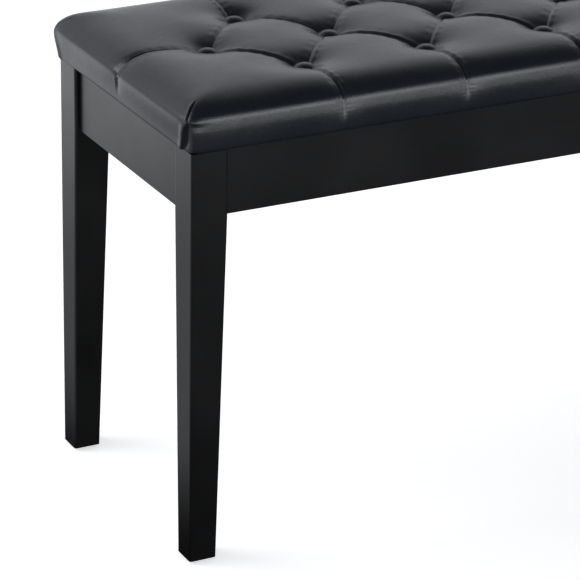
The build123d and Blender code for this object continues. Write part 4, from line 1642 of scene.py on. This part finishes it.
# ---- studio --------------------------------------------------------------------------------------
@dataclass(frozen=True)
class Studio:
    """The floor, the lights and the camera; lengths are in metres, glows are strengths."""

    eye: Place = (-1.6564, -2.8536, 1.5753)
    yaw: float = math.radians(27.35)
    pitch: float = math.radians(-23.04)
    roll: float = math.radians(1.01)
    lens: float = 203.6
    floor_size: float = 60.0
    floor_glow: float = 0.56
    back_wall: float = 0.82
    front_strip: float = 2.9
    ceiling: float = 0.1
    front_glow: float = 0.17
    near_glow: float = 0.0
    back_glow: float = 0.87
    card_size: float = 8.0
    card_drop: float = 2 * MM
    front_run: Corner = (-1.1, 0.0)
    beside_run: Corner = (-0.48, -0.38)
    beside_glow: float = 0.4
    back_run: Corner = (0.75, 1.2)
    back_least: float = 0.05
    split_lean: float = 0.5
    split_run: Corner = (0.05, 0.35)
    rear_way: Place = (-0.5, 0.866, 0.0)
    rear_run: Corner = (-0.35, 0.25)
    wall_top: Corner = (0.5, 0.85)
    strip_top: Corner = (0.2, 0.42)
    strip_foot: Corner = (-0.06, 0.03)
    aim_height: float = 0.35
    contrast: float = 0.93

    def camera(self) -> None:
        """Stands the camera at the viewer's eye."""
        data = bpy.data.cameras.new("camera")
        data.lens = self.lens
        data.clip_end = 200.0
        camera = bpy.data.objects.new("camera", data)
        bpy.context.collection.objects.link(camera)
        level = math.cos(self.pitch)
        ahead = Vector((math.sin(self.yaw) * level, math.cos(self.yaw) * level, math.sin(self.pitch)))
        right = Vector((math.cos(self.yaw), -math.sin(self.yaw), 0))
        up = right.cross(ahead)
        across = right * math.cos(self.roll) + up * math.sin(self.roll)
        upright = up * math.cos(self.roll) - right * math.sin(self.roll)
        turn = Matrix((across, upright, -ahead)).transposed()
        camera.matrix_world = Matrix.Translation(self.eye) @ turn.to_4x4()
        bpy.context.scene.camera = camera

    def floor(self) -> None:
        """Lays the pale floor."""
        deselect_all()
        bpy.ops.mesh.primitive_plane_add(size=self.floor_size)
        floor = bpy.context.active_object
        floor.name = "floor"
        shader = Shader("floor_white")
        shader.base(Base_Color=(0.9, 0.9, 0.9, 1.0), Roughness=0.9)
        shader.base(Emission_Color=(1.0, 1.0, 1.0, 1.0), Emission_Strength=self.floor_glow)
        dress(floor, shader.material)
        floor.visible_glossy = False

    def card(self) -> None:
        """Lays the card that only reflections see: dim near the bench, bright far off at the back left."""
        deselect_all()
        bpy.ops.mesh.primitive_plane_add(size=self.card_size, location=(0, 0, -self.card_drop))
        card = bpy.context.active_object
        card.name = "reflector_card"
        bpy.ops.object.transform_apply(location=True, rotation=False, scale=False)
        shader = Shader("card_glow")
        split = shader.node("ShaderNodeSeparateXYZ")
        shader.feed(split.inputs[0], shader.place)
        x, y = split.outputs[0], split.outputs[1]
        front = shader.band(y, *self.front_run, self.front_glow, self.near_glow)
        beside = shader.band(x, *self.beside_run, self.beside_glow, 0.0)
        back = shader.math("ADD", beside, shader.band(y, *self.back_run, self.back_least, self.back_glow))
        lean = shader.math("SUBTRACT", y, shader.math("MULTIPLY", x, self.split_lean))
        side = shader.band(lean, *self.split_run, 0.0, 1.0)
        near = shader.math("MULTIPLY", front, shader.math("SUBTRACT", 1.0, side))
        glow = shader.math("ADD", near, shader.math("MULTIPLY", back, side))
        shader.base(Base_Color=(0, 0, 0, 1), Specular_IOR_Level=0.0)
        shader.base(Emission_Color=(0.95, 0.97, 1.0, 1.0), Emission_Strength=glow)
        dress(card, shader.material)
        card.visible_camera = card.visible_diffuse = card.visible_shadow = False
        card.visible_transmission = card.visible_volume_scatter = False

    def world(self) -> None:
        """Surrounds the bench with a bright backdrop, a bright horizon and a dim ceiling."""
        world = bpy.data.worlds.new("studio")
        world.use_nodes = True
        bpy.context.scene.world = world
        kit = NodeKit(world.node_tree)
        soft = {"interpolation_type": "SMOOTHSTEP"}
        way = kit.node("ShaderNodeTexCoord").outputs["Generated"]
        split = kit.node("ShaderNodeSeparateXYZ")
        kit.feed(split.inputs[0], way)
        up = split.outputs["Z"]
        back = kit.node("ShaderNodeVectorMath", operation="DOT_PRODUCT")
        kit.feed(back.inputs[0], way)
        kit.feed(back.inputs[1], self.rear_way)
        rear = kit.band(back.outputs["Value"], *self.rear_run, 0.0, 1.0, **soft)
        rear_up = kit.band(up, *self.wall_top, self.back_wall, self.ceiling, **soft)
        front_up = kit.band(up, *self.strip_top, self.front_strip, self.ceiling, **soft)
        front_low = kit.band(up, *self.strip_foot, 0.0, 1.0, **soft)
        mix = kit.node("ShaderNodeMix", data_type="FLOAT")
        for place, source in ((0, rear), (2, kit.math("MULTIPLY", front_up, front_low)), (3, rear_up)):
            kit.feed(mix.inputs[place], source)
        background = world.node_tree.nodes["Background"]
        kit.feed(background.inputs["Color"], (0.93, 0.96, 1.0, 1.0))
        kit.feed(background.inputs["Strength"], mix.outputs[0])

    def light(self, name: str, place: Place, size: Corner, watts: float) -> None:
        """Hangs one soft panel that faces the bench.

        Args:
            name: Its name.
            place: Where its middle is.
            size: Its width and height.
            watts: Its power.
        """
        data = bpy.data.lights.new(name, "AREA")
        data.shape = "RECTANGLE"
        data.size, data.size_y = size
        data.energy = watts
        lamp = bpy.data.objects.new(name, data)
        bpy.context.collection.objects.link(lamp)
        lamp.location = place
        aim = Vector((0, 0, self.aim_height)) - Vector(place)
        lamp.rotation_euler = aim.to_track_quat("-Z", "Y").to_euler()
        lamp.visible_camera = False

    def build(self) -> None:
        """Sets up the whole studio."""
        self.camera()
        self.floor()
        self.card()
        self.world()
        self.light("key_panel", (-2.4, 1.2, 2.4), (2.0, 2.0), 40.0)
        self.light("front_panel", (0.4, -3.0, 1.0), (3.0, 0.5), 14.0)
        scene = bpy.context.scene
        scene.view_settings.view_transform = "Standard"
        scene.view_settings.gamma = self.contrast


def main() -> None:
    """Builds the bench round its frame."""
    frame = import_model()
    nodes = frame["nodes"]
    Studio().build()
    FrameFinishes(nodes).dress_all()
    LOG.info("frame dressed: %d nodes", len(nodes))

    plan = Tufting.read(nodes)
    low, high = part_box("seat_cover")
    cushion = SeatCushion(plan, Leather("seat_leather").build(), low.z, high.z - SWELL_ROOM).build()
    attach(cushion, "seat_lid")
    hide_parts("seat_cover", "seat_foam")
    LOG.info("cushion made: %d faces", len(cushion.data.polygons))

    for row, obj in Buttons(plan, Leather("button_leather", roughness=0.26).build()).build().items():
        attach(obj, "seat_lid")
        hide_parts(row.value)
        LOG.info("%s made", obj.name)

    steel = Metal("staple_steel", (0.6, 0.6, 0.61, 1.0), (0.42, 0.41, 0.4, 1.0), 1.0, 0.3).build()
    underside = LidUnderside(nodes["dust_cover"].active_material, steel)
    low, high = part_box("dust_cover")
    cloth = underside.hang_cloth()
    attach(cloth, "seat_lid")
    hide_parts("dust_cover")
    staples = underside.drive_staples()
    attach(staples, "seat_lid")
    LOG.info("lid closed from below: %d staples", len(underside.staple_spots()))

    screws = CrossHeadScrews(nodes["hinge_lid_screws"].active_material)
    for node, axis, body, way in (
        ("hinge_box_screws", Axis.Y, "bench_frame", lambda middle: 1),
        ("hinge_lid_screws", Axis.Z, "seat_lid", lambda middle: -1),
        ("stay_box_screws", Axis.X, "bench_frame", lambda middle: -1 if middle.x > 0 else 1),
        ("stay_lid_screws", Axis.Z, "seat_lid", lambda middle: -1),
        ("foot_pad_screws", Axis.Z, "bench_frame", lambda middle: -1),
    ):
        obj = screws.build(f"cross_head_{node}", nodes[node], axis, way)
        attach(obj, body)
        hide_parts(node)
        LOG.info("%s made", obj.name)


if __name__ == "__main__":
    logging.basicConfig(level=logging.INFO, format="%(name)s: %(message)s", stream=sys.stdout)
    main()
